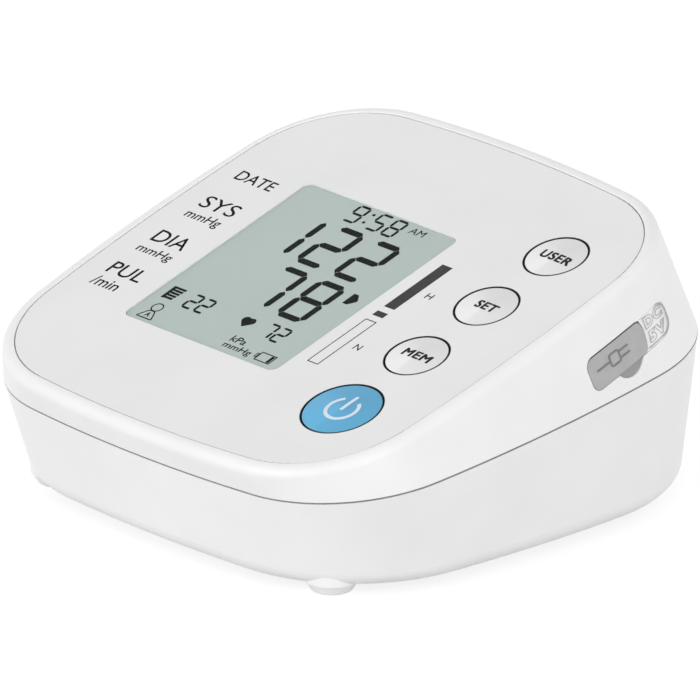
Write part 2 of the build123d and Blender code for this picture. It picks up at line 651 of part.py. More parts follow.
def pump_head():
    body = rod(HEAD_R, (-27, PUMP_Y, AIR_Z), (-3, PUMP_Y, AIR_Z))
    for x in (-19, -11):
        groove = rod(HEAD_R + 1, (x - 0.4, PUMP_Y, AIR_Z), (x + 0.4, PUMP_Y, AIR_Z))
        body -= groove - rod(HEAD_R - 0.6, (x - 1, PUMP_Y, AIR_Z), (x + 1, PUMP_Y, AIR_Z))
    body += rod(4.0, (-28.5, PUMP_Y, AIR_Z), (-26, PUMP_Y, AIR_Z))
    body += rod(BARB_R, (-33.5, PUMP_Y, AIR_Z), (-28, PUMP_Y, AIR_Z))
    return body - rod(0.9, (-34, PUMP_Y, AIR_Z), (-24, PUMP_Y, AIR_Z))


def pump_sleeve():
    """A rubber sleeve round the motor that keeps its hum from the housing."""
    start, end = (2, PUMP_Y, AIR_Z), (20, PUMP_Y, AIR_Z)
    return rod(SLEEVE_R, start, end) - rod(MOTOR_R, (1, PUMP_Y, AIR_Z), (21, PUMP_Y, AIR_Z))


def pump_clamp():
    """A strap over the sleeve with an ear on each post."""
    y, z = PUMP_Y, AIR_Z
    strap = rod(SLEEVE_R + 1.2, (5, y, z), (17, y, z)) - rod(SLEEVE_R, (4, y, z), (18, y, z))
    strap &= block((0, 30), (y - 30, y + 30), (z, z + 30))
    for side in (-1, 1):
        low, high = sorted((y + side * SLEEVE_R, y + side * 21.4))
        ear = block((5, 17), (low, high), (z, z + 1.2)) - rod(SLEEVE_R, (4, y, z), (18, y, z))
        strap += ear - post(1.25, 11, y + side * 18, (z - 1, z + 3))
    return strap


def pump_screws():
    screws = []
    for side in (-1, 1):
        y = PUMP_Y + side * 18
        screw = post(2.3, 11, y, (AIR_Z + 1.2, AIR_Z + 2.8)) + post(1.0, 11, y, (AIR_Z - 8, AIR_Z + 1.3))
        screw -= block((9.6, 12.4), (y - 0.35, y + 0.35), (AIR_Z + 2.0, AIR_Z + 4))
        screw -= block((10.65, 11.35), (y - 1.4, y + 1.4), (AIR_Z + 2.0, AIR_Z + 4))
        screws.append(screw)
    return screws


def exhaust_valve():
    """A small solenoid valve with its nozzle to the back."""
    x, z = JUNCTION[0], AIR_Z
    body = block((x - 6.5, x + 6.5), (-22, -4), (z - 6.5, z + 6.5))
    body = chamfer(body.edges().filter_by(Axis.Y), 1.2)
    body += rod(4.2, (x, -4.5, z), (x, -2.6, z))
    body += rod(BARB_R, (x, -3, z), (x, 2.4, z))
    return body - rod(0.9, (x, -8, z), (x, 3, z))


def air_junction():
    """A four-way connector: a rounded hub with a barb to the socket, valve, pump and sensor."""
    x, y, z = JUNCTION
    hub = fillet((Pos(x, y, z) * Box(6.4, 6.4, 6.4)).edges(), 1.0)
    reach = 3.2 + BARB_L
    ends = [(x - reach, y, z), (x, y - reach, z), (x, y + reach, z), (x, y, z + reach)]
    for end in ends:
        hub += rod(BARB_R, JUNCTION, end)
    for end in ends:
        hub -= rod(0.9, JUNCTION, end)
    return hub


def air_socket():
    """The cuff hose's socket: a flanged bush in the left wall with a barb inside."""
    y, z = JUNCTION[1], AIR_Z
    inner = SOCKET_FACE + SOCKET_BORE_L
    body = rod(4.5, (SOCKET_FACE, y, z), (inner + 1.6, y, z))
    body += rod(6.0, (SOCKET_FACE, y, z), (SOCKET_FACE + 1.6, y, z))
    body += rod(BARB_R, (inner, y, z), (inner + 6.4, y, z))
    groove = rod(6.0, (SOCKET_SEAT, y, z), (SOCKET_SEAT + 1.1, y, z))
    body -= groove - rod(3.6, (SOCKET_SEAT - 1, y, z), (SOCKET_SEAT + 2, y, z))
    body -= rod(SOCKET_BORE_R, (SOCKET_FACE, y, z), (inner, y, z))
    return body - rod(0.9, (inner - 1, y, z), (inner + 7, y, z))


def socket_clip():
    """A sheet clip in the socket's groove, behind the wall."""
    y, z = JUNCTION[1], AIR_Z
    x0, x1 = SOCKET_SEAT, SOCKET_SEAT + 1.0
    clip = block((x0, x1), (y - 7, y + 7), (z - 7, z + 7))
    clip -= rod(3.65, (x0 - 1, y, z), (x1 + 1, y, z))
    return clip - block((x0 - 1, x1 + 1), (y - 3.65, y + 3.65), (z - 8, z))


def tube(points, bend):
    """A silicone tube through the points, with its corners rounded to one radius."""
    path = FilletPolyline(*points, radius=bend) if bend else Polyline(*points)
    ring = Circle(TUBE_R) - Circle(TUBE_BORE)
    return sweep(Plane(origin=path @ 0, z_dir=path % 0).location * ring, path=path)


def tubes():
    x, y, z = JUNCTION
    knee, _ = sensor_place()
    tip = knee + PANEL.z_dir * 8.3
    barb = 3.4
    return {
        "tube_socket": tube([(SOCKET_FACE + SOCKET_BORE_L + 1.9, y, z), (x - barb, y, z)], 0),
        "tube_valve": tube([(x, y - barb, z), (x, -2.4, z)], 0),
        "tube_pump": tube([(x, y + barb, z), (x, PUMP_Y, z), (-28.7, PUMP_Y, z)], 7),
        "tube_sensor": tube([(x, y, z + barb), tuple(knee), tuple(tip)], 16),
    }


# ---- feet and case screws
def foot(x, y):
    """A soft push-in foot: a tapered pad with a barbed stem through the floor."""
    pad = Pos(x, y, 0) * Cone(FOOT_BASE_R, FOOT_TOP_R, BASE_Z, align=UP)
    pad = fillet(pad.edges().sort_by(Axis.Z)[0], 0.8)
    stem = post(2.0, x, y, (BASE_Z - 0.2, BASE_Z + 3.0))
    barb = Pos(x, y, BASE_Z + 2.7) * Cone(2.9, 1.4, 2.4, align=UP)
    return pad + stem + barb


def case_screws():
    screws = []
    for x, y, z in CASE_POSTS:
        seat = z - 6
        screw = post(2.8, x, y, (seat - 2, seat)) + post(1.45, x, y, (seat - 0.1, seat + 13))
        screw -= block((x - 1.7, x + 1.7), (y - 0.4, y + 0.4), (seat - 3, seat - 0.9))
        screw -= block((x - 0.4, x + 0.4), (y - 1.7, y + 1.7), (seat - 3, seat - 0.9))
        screws.append(screw)
    return screws


def assembly():
    """Every piece by its name; a list is a group of separate solids."""
    parts = {
        "upper_housing": upper_housing(),
        "lower_housing": lower_housing(),
        "face_panel": face_panel(),
        "display_window": display_window(),
        "lcd_front_glass": lcd_front_glass(),
        "lcd_rear_glass": lcd_rear_glass(),
        "lcd_reflector": lcd_reflector(),
        "lcd_frame": lcd_frame(),
        "elastomer_strip": elastomer_strip(),
        "main_board": main_board(),
        "board_screws": board_screws(),
        "processor_chip": processor_chip(),
        "buzzer": buzzer(),
        "pressure_sensor": pressure_sensor(),
        "usb_receptacle": usb_receptacle(),
        "switch_bodies": switch_bodies(),
        "port_cover": port_cover(),
        "port_cover_anchor": port_cover_anchor(),
        "battery_bridges": battery_bridges(),
        "battery_terminals": battery_terminals(),
        "battery_door": battery_door(),
        "pump_motor": pump_motor(),
        "pump_head": pump_head(),
        "pump_sleeve": pump_sleeve(),
        "pump_clamp": pump_clamp(),
        "pump_screws": pump_screws(),
        "exhaust_valve": exhaust_valve(),
        "air_junction": air_junction(),
        "air_socket": air_socket(),
        "socket_clip": socket_clip(),
        "case_screws": case_screws(),
    }
    parts.update(tubes())
    for name, (y, radius) in KEYS.items():
        parts["key_" + name] = key_cap(y, radius)
        parts["plunger_" + name] = plunger(y)
    for number, (x, way) in enumerate(cell_places(), 1):
        parts[f"battery_cell_{number}"] = battery_cell(x, way)
    for name, (x, y) in FEET.items():
        parts[name] = foot(x, y)
    return parts


os.makedirs("parts", exist_ok=True)
for node, shape in assembly().items():
    export_step(Compound(shape) if isinstance(shape, list) else shape, f"parts/{node}.step")
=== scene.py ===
# %% [markdown]
# # Dressing a desktop blood pressure monitor
#
# The console is a white wedge that stands on a table. Its tilted face has a display and four keys, and
# its right wall has a small rubber cover over the power socket. The rigid parts come from the CAD model
# as a fixed frame that is never moved. This lesson gives each part the finish of the real one, and adds
# what a CAD model leaves out: the picture on the display, the printed words, the raised marks, the
# studio and the camera.

import math

import bpy
from mathutils import Matrix, Vector


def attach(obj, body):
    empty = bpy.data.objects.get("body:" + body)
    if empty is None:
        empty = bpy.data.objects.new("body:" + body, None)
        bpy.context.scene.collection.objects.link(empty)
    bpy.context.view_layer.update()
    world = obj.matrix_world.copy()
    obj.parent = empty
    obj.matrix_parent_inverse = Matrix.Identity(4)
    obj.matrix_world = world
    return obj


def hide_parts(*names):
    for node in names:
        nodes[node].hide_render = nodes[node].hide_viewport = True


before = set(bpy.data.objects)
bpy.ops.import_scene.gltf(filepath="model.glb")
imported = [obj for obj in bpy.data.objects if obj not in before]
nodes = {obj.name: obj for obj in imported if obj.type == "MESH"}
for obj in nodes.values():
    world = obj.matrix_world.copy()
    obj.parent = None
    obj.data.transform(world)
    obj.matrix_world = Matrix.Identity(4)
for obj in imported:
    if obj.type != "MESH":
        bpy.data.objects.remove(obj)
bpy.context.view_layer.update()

# %% [markdown]
# ## Measures of the face
#
# Blender works in metres and the product in millimetres, so one constant turns the one into the other.
# Everything on the face is modelled lying flat, in millimetres from the middle of the face, and is laid
# on the tilted face at the end. That is how a print film is drawn too: flat, and then stuck on.

# %% The face and its plane
MM = 0.001
FACE_TILT = math.radians(17.1)
FACE_MIDDLE = Vector((0, -7.08 * MM, 48.98 * MM))
FACE = Matrix.Translation(FACE_MIDDLE) @ Matrix.Rotation(FACE_TILT, 4, "X")
WINDOW = dict(x=-11.42, y=-1.3, width=50.45, height=59.05, corner=2.1)
KEY_X = 39.9
KEY_Y = {"user": 34.01, "set": 11.88, "mem": -10.25, "power": -33.87}
print("the face looks along", FACE.to_3x3() @ Vector((0, 0, 1)))


# %% [markdown]
# ## Colours and nodes
#
# Colours are written as the sRGB hex codes that a paint chart or a drawing program gives. Shaders want
# linear light, so one function turns a code into linear values. A second one adds a shader node with its
# settings and its links, which keeps each material below down to a few readable lines.

# %% Helpers for materials
def paint(code):
    """An sRGB hex colour, such as F2F2F0, as the linear values of a shader socket."""
    shares = [int(code[i:i + 2], 16) / 255 for i in (0, 2, 4)]
    return [s / 12.92 if s <= 0.04045 else ((s + 0.055) / 1.055) ** 2.4 for s in shares] + [1.0]


def add(material, kind, inputs=None, **settings):
    """Adds a node. An input is a value, or a node and the name of its output, which is linked."""
    node = material.node_tree.nodes.new("ShaderNode" + kind)
    for name, value in settings.items():
        setattr(node, name, value)
    for socket, value in (inputs or {}).items():
        if isinstance(value, tuple) and isinstance(value[0], bpy.types.Node):
            material.node_tree.links.new(value[0].outputs[value[1]], node.inputs[socket])
        else:
            node.inputs[socket].default_value = value
    return node


def per(millimetres):
    """The texture scale that gives one feature in so many millimetres."""
    return 1 / (millimetres * MM)


def plain(name, **sockets):
    """A new material and its shader, with sockets named as in the shader and _ for each space."""
    material = bpy.data.materials.new(name)
    material.use_nodes = True
    shader = material.node_tree.nodes["Principled BSDF"]
    for socket, value in sockets.items():
        shader.inputs[socket.replace("_", " ")].default_value = value
    return material, shader


def wire(node, output, shader, socket="Base Color"):
    """Links an output of a node to a socket of the shader."""
    shader.id_data.links.new(node.outputs[output], shader.inputs[socket])


print("F2F2F0 in linear light is", [round(v, 3) for v in paint("F2F2F0")])


# %% [markdown]
# ## Two kinds of irregularity
#
# No moulded part has one flat colour. Its tone drifts a little over some millimetres, and its skin has a
# fine relief from the mould. Both come from noise on Object coordinates, whose scale is worked out from
# a real size. The frame's objects sit at the origin, so Object coordinates are metres on the product.
# They run along the table's axes. Where a colour has to follow the tilted face or the tilted seam, a
# Mapping node turns them into that plane's own axes, and the other colour is painted where a mask says so.

# %% Tone, relief and masks
def drift(material, shader, darker, lighter, size_mm):
    """Lets the colour drift between two near tones, in patches of that size."""
    place = add(material, "TexCoord")
    patches = add(material, "TexNoise", {"Vector": (place, "Object"), "Scale": per(size_mm), "Detail": 2.0})
    tones = add(material, "ValToRGB", {"Fac": (patches, "Fac")})
    for end, share, code in zip(tones.color_ramp.elements, (0.3, 0.7), (darker, lighter)):
        end.position = share
        end.color = paint(code)
    wire(tones, "Color", shader)
    return tones


def relief(material, shader, size_mm, depth_mm, strength):
    """Gives the skin a fine relief of that size and depth."""
    place = add(material, "TexCoord")
    skin = add(material, "TexNoise", {"Vector": (place, "Object"), "Scale": per(size_mm), "Detail": 3.0})
    bump = add(material, "Bump", {"Height": (skin, "Fac"), "Distance": depth_mm * MM, "Strength": strength})
    wire(bump, "Normal", shader, "Normal")


def along_plane(material, plane):
    """The place on the product along the axes of a plane, in metres."""
    back = plane.inverted()
    place = add(material, "TexCoord")
    return add(material, "Mapping", {"Vector": (place, "Object"), "Location": back.to_translation(),
                                     "Rotation": back.to_euler()}, vector_type="POINT")


def paint_where(material, shader, base, mask, code):
    """Paints another colour over a base colour wherever a mask node gives 1."""
    mixed = add(material, "MixRGB", {"Fac": (mask, "Value"), "Color1": (base, "Color"),
                                     "Color2": paint(code)})
    wire(mixed, "Color", shader)
    return mixed


def dress(material, *names):
    """Puts the material on CAD nodes, in the place of the one they came with."""
    for name in names:
        for place in nodes[name].material_slots:
            place.material = material
    print(material.name, "on", ", ".join(names))


# %% [markdown]
# ## The housing: white ABS, moulded in a polished tool
#
# Both shells and the battery door are ABS. A polished mould leaves a glossy skin with a slight waviness
# like orange peel, which shows only in the reflections. The waves are about 5 mm long and a few
# thousandths of a millimetre deep, so they are drawn as a very shallow relief. The shells meet in a
# half-millimetre step. The shade in the step is painted: a narrow band round the parting plane is a
# darker grey.

# %% Glossy ABS
SEAM = Matrix.Translation((0, -0.65 * MM, 31.8 * MM)) @ Matrix.Rotation(math.radians(7.11), 4, "X")
STEP_SHADE_REACH = 0.22 * MM

gloss_abs, shader = plain("gloss_abs_white", Roughness=0.33, IOR=1.53)
white = drift(gloss_abs, shader, "F2F2F2", "F6F6F6", size_mm=18)
from_seam = add(gloss_abs, "SeparateXYZ", {"Vector": (along_plane(gloss_abs, SEAM), "Vector")})
# painted shade in the step between the shells: grey within a narrow band of the parting plane
step_shade = add(gloss_abs, "Math", {0: (from_seam, "Z"), 1: 0.0, 2: STEP_SHADE_REACH}, operation="COMPARE")
paint_where(gloss_abs, shader, white, step_shade, "D2D2D2")
relief(gloss_abs, shader, size_mm=5.0, depth_mm=0.004, strength=0.4)
dress(gloss_abs, "upper_housing", "lower_housing", "battery_door")

# %% [markdown]
# The face panel is a separate sheet of polycarbonate film, printed light grey from behind. Its skin is
# satin: very fine grains break up the reflection. The real grain is about 0.05 mm, too fine for the
# picture, so it is drawn at 0.35 mm. Round each key's hole the film is painted near black where the
# distance from the key's axis is less than a set radius: painted shade for the gap round the key. The
# outer edge of the sheet is painted mid grey, as painted shade for the groove between the film and the
# rim: the colour changes just under the face, and only far from the middle, so the edge of the window
# keeps its colour.

# %% Satin film with painted shade at its holes and its outer edge
GAP_SHADE_RADIUS = {"user": 7.82, "set": 7.82, "mem": 7.82, "power": 9.8}
EDGE_TOP = -0.03 * MM
EDGE_FROM_MIDDLE = 56 * MM

satin_film, shader = plain("polycarbonate_film_grey", Roughness=0.42, IOR=1.58)
grey = drift(satin_film, shader, "ECECED", "F0F0F0", size_mm=24)
on_face = along_plane(satin_film, FACE)
# painted shade of the gap round each key: the film is near black within a radius of each key's axis
gap_shade_ring = None
for key, y in KEY_Y.items():
    axis = (KEY_X * MM, y * MM, 0)
    flat = add(satin_film, "VectorMath", {0: (on_face, "Vector"), 1: (1, 1, 0)}, operation="MULTIPLY")
    away = add(satin_film, "VectorMath", {0: (flat, "Vector"), 1: axis}, operation="DISTANCE")
    near = add(satin_film, "Math", {0: (away, "Value"), 1: GAP_SHADE_RADIUS[key] * MM}, operation="LESS_THAN")
    if gap_shade_ring:
        near = add(satin_film, "Math", {0: (gap_shade_ring, "Value"), 1: (near, "Value")}, operation="MAXIMUM")
    gap_shade_ring = near
# painted shade in the groove round the film: its outer edge is mid grey under the face, far from the middle
over_face = add(satin_film, "SeparateXYZ", {"Vector": (on_face, "Vector")})
under = add(satin_film, "Math", {0: (over_face, "Z"), 1: EDGE_TOP}, operation="LESS_THAN")
from_middle = add(satin_film, "VectorMath", {0: (on_face, "Vector")}, operation="LENGTH")
outside = add(satin_film, "Math", {0: (from_middle, "Value"), 1: EDGE_FROM_MIDDLE},
              operation="GREATER_THAN")
groove_shade_edge = add(satin_film, "Math", {0: (under, "Value"), 1: (outside, "Value")}, operation="MULTIPLY")
grey = paint_where(satin_film, shader, grey, groove_shade_edge, "A9AAAD")
paint_where(satin_film, shader, grey, gap_shade_ring, "2C2D2E")
relief(satin_film, shader, size_mm=0.35, depth_mm=0.004, strength=0.5)
dress(satin_film, "face_panel")

# %% [markdown]
# The feet are soft TPE, pushed into the floor of the housing: white as well, but waxy, with a softer
# shine and a little light inside the material.

# %% Waxy TPE for the feet
soft_tpe, shader = plain("soft_tpe_white", Roughness=0.45, IOR=1.5, Subsurface_Weight=0.15,
                         Subsurface_Scale=0.002)
drift(soft_tpe, shader, "F4F4F3", "FAFAF9", size_mm=4)
relief(soft_tpe, shader, size_mm=0.5, depth_mm=0.01, strength=0.4)
dress(soft_tpe, "foot_front_left", "foot_front_right", "foot_back_left", "foot_back_right")

# %% [markdown]
# The port's cover is a thermoplastic rubber in mid grey, with a fine eroded skin that scatters the light.
# The anchor that holds it in the wall is one moulding with it. The cover's edges, the faces that lie
# square to the wall, are painted darker: painted shade where the cover meets the wall. The thumb tab
# under the cover's lower edge is painted darker too, as painted shade.

# %% Grey rubber
WALL_OUTWARD = (0.983, -0.054, 0.176)
SQUARE_TO_WALL = 0.6
TAB_TOP = -17.45 * MM

grey_rubber, shader = plain("thermoplastic_rubber_grey", Roughness=0.55, IOR=1.5, Sheen_Weight=0.15)
rubber = drift(grey_rubber, shader, "AEAEAF", "B5B5B6", size_mm=3)
skin = add(grey_rubber, "TexCoord")
# painted shade on the cover's edges, the faces that lie square to the wall
outward = add(grey_rubber, "VectorMath", {0: (skin, "Normal"), 1: WALL_OUTWARD}, operation="DOT_PRODUCT")
edge_shade = add(grey_rubber, "Math", {0: (outward, "Value"), 1: 0.0, 2: SQUARE_TO_WALL}, operation="COMPARE")
rubber = paint_where(grey_rubber, shader, rubber, edge_shade, "7A7A7B")
# painted shade on the thumb tab under the cover's lower edge
under_face = add(grey_rubber, "SeparateXYZ", {"Vector": (along_plane(grey_rubber, FACE), "Vector")})
tab_shade = add(grey_rubber, "Math", {0: (under_face, "Z"), 1: TAB_TOP}, operation="LESS_THAN")
paint_where(grey_rubber, shader, rubber, tab_shade, "9A9A9B")
relief(grey_rubber, shader, size_mm=0.3, depth_mm=0.012, strength=0.5)
dress(grey_rubber, "port_cover", "port_cover_anchor")

# %% [markdown]
# ## The keys
#
# A key's crown is lacquered, silver pearl for the three small ones and sky blue for the power key. Its
# tone changes round its axis, lighter on one side than on the other: painted light and shade. A radial
# gradient gives the angle round the axis. The three small keys stand one pitch apart, so a wrap of the
# place serves all three. A little under the face the key is painted dark: painted shade, for the dark
# ring in the gap round each key.

# %% Lacquered crown with painted light, and painted shade under it
KEY_PITCH = KEY_Y["user"] - KEY_Y["set"]
TURN_SHARES = (0, 0.17, 0.23, 0.27, 0.7, 0.85)
KEY_SHADE_TOP = -0.065 * MM


def lacquered(name, axis_y, tones, **sockets):
    """A key whose crown has a tone of painted light and shade for each share of a turn from its left, and
    painted shade under the crown.
    """
    material, shader = plain(name, **sockets)
    on_face = along_plane(material, FACE)
    axis, reach = Vector((KEY_X, axis_y, 0)) * MM, Vector((0.5, 0.5, 1)) * KEY_PITCH * MM
    cell = add(material, "VectorMath", {0: (on_face, "Vector"), 1: axis + reach, 2: axis - reach},
               operation="WRAP")
    from_axis = add(material, "VectorMath", {0: (cell, "Vector"), 1: axis}, operation="SUBTRACT")
    # painted light and shade: the crown's tone changes with the angle round the key's axis
    turn = add(material, "TexGradient", {"Vector": (from_axis, "Vector")}, gradient_type="RADIAL")
    crown = add(material, "ValToRGB", {"Fac": (turn, "Fac")})
    crown.color_ramp.elements[0].color = crown.color_ramp.elements[1].color = paint(tones[0])
    for share, code in zip(TURN_SHARES[1:], tones[1:]):
        crown.color_ramp.elements.new(share).color = paint(code)
    # painted shade under the crown's edge, for the gap round the key
    height = add(material, "SeparateXYZ", {"Vector": (on_face, "Vector")})
    under = add(material, "Math", {0: (height, "Z"), 1: KEY_SHADE_TOP}, operation="LESS_THAN")
    paint_where(material, shader, crown, under, "2E2F30")
    return material, shader


# tones of painted light and shade round the crown, from its left
silver = ("EFEFF0", "F5F5F6", "F5F5F6", "EAEAEB", "DDDDDE", "E1E1E2")
pearl, shader = lacquered("silver_pearl_lacquer", KEY_Y["set"], silver, Roughness=0.36, Metallic=0.15,
                          Coat_Weight=0.3, Coat_Roughness=0.25)
relief(pearl, shader, size_mm=0.4, depth_mm=0.003, strength=0.5)
dress(pearl, "key_user", "key_set", "key_mem")

# tones of painted light and shade round the crown, from its left
sky = ("5CB2DE", "5CB6E3", "5CB6E3", "57AFD9", "4FA4CE", "52A7D1")
blue, shader = lacquered("sky_blue_lacquer", KEY_Y["power"], sky, Roughness=0.4, Specular_IOR_Level=0.35,
                         Coat_Weight=0.15, Coat_Roughness=0.25)
relief(blue, shader, size_mm=0.4, depth_mm=0.002, strength=0.4)
dress(blue, "key_power")


# %% [markdown]
# ## Shapes on the face
#
# Prints and display segments are thin flat shapes. Each starts as a plane or a circle, its corners are
# rounded with a vertex bevel, an inset leaves only an outline where one is needed, and an extrude gives
# it the thickness of a layer of ink. A print is sunk a third of that into its film, so no gap shows
# under it. An operator acts on everything that is selected, so each step first clears the selection.

# %% Helpers for flat shapes
INK = 0.03 * MM
SUNK = 0.01


def only(piece):
    """Selects one piece and nothing else."""
    bpy.ops.object.select_all(action="DESELECT")
    piece.select_set(True)
    bpy.context.view_layer.objects.active = piece


def edit(piece, elements="FACE"):
    """Opens a piece in edit mode with all of it selected."""
    only(piece)
    bpy.ops.object.mode_set(mode="EDIT")
    bpy.ops.mesh.select_mode(type=elements)
    bpy.ops.mesh.select_all(action="SELECT")


def close_edit():
    """Leaves edit mode and gives the piece."""
    bpy.ops.object.mode_set(mode="OBJECT")
    return bpy.context.object


def edit_points(piece, chosen):
    """Opens a piece in edit mode with only the points selected whose place is chosen."""
    edit(piece, "VERT")
    bpy.ops.mesh.select_all(action="DESELECT")
    close_edit()
    for vertex in piece.data.vertices:
        vertex.select = chosen(vertex.co)
    bpy.ops.object.mode_set(mode="EDIT")


def settle():
    """Keeps the place, turn and scale of what is selected in its mesh."""
    bpy.ops.object.transform_apply(location=True, rotation=True, scale=True)


def sheet(left, right, low, high, corner=0.0):
    """A flat rectangle between four limits in millimetres, with rounded corners."""
    bpy.ops.object.select_all(action="DESELECT")
    bpy.ops.mesh.primitive_plane_add(size=1)
    piece = bpy.context.object
    piece.scale = ((right - left) * MM, (high - low) * MM, 1)
    piece.location = ((left + right) / 2 * MM, (low + high) / 2 * MM, 0)
    settle()
    if corner:
        edit(piece)
        bpy.ops.mesh.bevel(offset=corner * MM, segments=6, affect="VERTICES")
        close_edit()
    return piece


def disc(x, y, radius, corners=40):
    """A flat disc; with few corners it is a polygon."""
    bpy.ops.object.select_all(action="DESELECT")
    bpy.ops.mesh.primitive_circle_add(vertices=corners, radius=radius * MM, fill_type="NGON",
                                      location=(x * MM, y * MM, 0))
    settle()
    return bpy.context.object


def outlined(piece, line):
    """Keeps only a line round the edge of a flat shape."""
    edit(piece)
    bpy.ops.mesh.inset(thickness=line * MM)
    bpy.ops.mesh.delete(type="FACE")
    return close_edit()


def joined(name, pieces):
    """Makes one piece of several."""
    bpy.ops.object.select_all(action="DESELECT")
    for piece in pieces:
        piece.select_set(True)
    bpy.context.view_layer.objects.active = pieces[0]
    if len(pieces) > 1:
        bpy.ops.object.join()
    whole = bpy.context.object
    whole.name = whole.data.name = name
    return whole


def thicken(piece, thickness=INK):
    """Extrudes a flat shape upwards and turns all its faces outwards."""
    edit(piece)
    bpy.ops.mesh.extrude_region_move(TRANSFORM_OT_translate={"value": (0, 0, thickness)})
    bpy.ops.mesh.select_all(action="SELECT")
    bpy.ops.mesh.normals_make_consistent(inside=False)
    return close_edit()


def lay(piece, plane, height_mm, body, finish):
    """Lays a piece on a plane at a height, keeps its place in its mesh, and lets it ride on a body."""
    piece.matrix_world = plane @ Matrix.Translation((0, 0, height_mm * MM)) @ piece.matrix_world
    only(piece)
    settle()
    piece.data.materials.clear()
    piece.data.materials.append(finish)
    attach(piece, body)
    print(piece.name, "has", len(piece.data.polygons), "faces and rides on", body)


# %% [markdown]
# ## Words
#
# The labels are Blender's own letters. A text object is made a mesh first, and is then stretched to the
# size that the label has on the product: four limits give its left and right edge, and its lowest and
# highest point. A small offset of the outline, its weight, makes the strokes heavier.

# %% Helpers for words
def lettering(text, left, right, low, high, **drawn):
    """A text with these curve settings, as a mesh between four limits in millimetres."""
    bpy.ops.object.select_all(action="DESELECT")
    bpy.ops.object.text_add()
    letters = bpy.context.object.data
    letters.body = text
    for setting, value in drawn.items():
        setattr(letters, setting, value)
    bpy.ops.object.convert(target="MESH")
    piece = bpy.context.object
    xs = [v.co.x for v in piece.data.vertices]
    ys = [v.co.y for v in piece.data.vertices]
    wide, tall = (right - left) * MM / (max(xs) - min(xs)), (high - low) * MM / (max(ys) - min(ys))
    piece.scale = (wide, tall, (wide + tall) / 2)
    piece.location = (left * MM - min(xs) * wide, low * MM - min(ys) * tall, 0)
    settle()
    return piece


def words(text, left, right, low, high, weight=0.0, spacing=1.0):
    """A flat word between four limits in millimetres."""
    return lettering(text, left, right, low, high, size=(high - low) * MM, offset=weight * MM,
                     space_character=spacing, resolution_u=4)


# %% [markdown]
# ## The display
#
# The real display is a liquid crystal cell behind a clear acrylic window. Acrylic bends light, so the
# picture seems to float just under the window's top, and none of the window's sides shows. The same look
# comes from three layers: a grey-green field that fills the window from the glass up, the dark segments
# on it, and a thin clear sheet over them. The field and the clear sheet stand for the window's solid.

# %% Finishes of the display
cell_grey, shader = plain("liquid_crystal_cell", Roughness=0.32, IOR=1.5)
drift(cell_grey, shader, "C3D1CC", "C7D5D0", size_mm=30)
relief(cell_grey, shader, size_mm=0.3, depth_mm=0.002, strength=0.3)

dark_crystal, shader = plain("lit_segment", Roughness=0.5, Specular_IOR_Level=0.05)
drift(dark_crystal, shader, "121514", "191C1B", size_mm=2)

clear_acrylic, shader = plain("clear_acrylic", Base_Color=paint("3A4A45"), Roughness=0.12, IOR=1.49,
                              Specular_IOR_Level=0.09, Alpha=0.04)
print("three finishes for the display")

# %% [markdown]
# The window is a plate with rounded corners. Its field reaches from the glass of the cell, 1 mm under
# the face, to less than half a millimetre under it, and the clear sheet lies over the field.

# %% Field and window
GLASS_TOP, FIELD_TOP = -1.0, -0.42
LENS_BASE, LENS_TOP = -0.39, -0.15
half_w, half_h = WINDOW["width"] / 2, WINDOW["height"] / 2
limits = (WINDOW["x"] - half_w, WINDOW["x"] + half_w, WINDOW["y"] - half_h, WINDOW["y"] + half_h)

field = joined("display_field", [sheet(*limits, corner=WINDOW["corner"])])
thicken(field, (FIELD_TOP - GLASS_TOP) * MM)
lay(field, FACE, GLASS_TOP, "console", cell_grey)

window = joined("display_lens", [sheet(*limits, corner=WINDOW["corner"])])
thicken(window, (LENS_TOP - LENS_BASE) * MM)
lay(window, FACE, LENS_BASE, "console", clear_acrylic)
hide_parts("display_window")

# %% [markdown]
# ## Seven bars for a digit
#
# Every digit is made of up to seven pointed bars. One bar is modelled: a plane whose four corners are cut
# off by a vertex bevel of nearly half its width. The bar is then copied to each place that is lit in a
# digit, turned flat for the three level ones, and each copy gets its own mesh.

# %% One bar and its places
BARS = {"a": (0, 1), "b": (1, 0.5), "c": (1, -0.5), "d": (0, -1), "e": (-1, -0.5), "f": (-1, 0.5),
        "g": (0, 0)}
LIT = {"1": "bc", "2": "abged", "5": "afgcd", "7": "abc", "8": "abcdefg", "9": "abcdfg"}


def bar(length, stroke):
    """An upright bar with pointed ends, in the middle of the sheet."""
    piece = sheet(-stroke / 2, stroke / 2, -length / 2, length / 2)
    edit(piece)
    bpy.ops.mesh.bevel(offset=stroke * 0.45 * MM, segments=1, affect="VERTICES")
    return close_edit()


def copy_of(piece, x, y, turned=False):
    """A copy with its own mesh at a place in millimetres."""
    twin = piece.copy()
    twin.data = piece.data.copy()
    twin.location = (x * MM, y * MM, 0)
    twin.rotation_euler = (0, 0, math.pi / 2 if turned else 0)
    bpy.context.scene.collection.objects.link(twin)
    return twin


def digit(sign, left, width, low, high, stroke, gap):
    """The lit bars of one digit in its box."""
    across, along = (width - stroke) / 2, (high - low - stroke) / 2
    upright, level = bar(along - gap, stroke), bar(2 * across - gap, stroke)
    lit = []
    for name in LIT[sign]:
        side, up = BARS[name]
        x, y = left + width / 2 + side * across, (low + high) / 2 + up * along
        lit.append(copy_of(upright if side else level, x, y, turned=not side))
    for pattern in (upright, level):
        bpy.data.objects.remove(pattern)
    return lit


print("a digit 8 has", len(LIT["8"]), "bars")

# %% [markdown]
# The picture shows a reading: the upper and the lower pressure, the time, the number of the memory and the
# pulse. Places are millimetres from the middle of the picture. Each number has the places of its digits,
# and then the width, low, high, stroke and gap of them all.

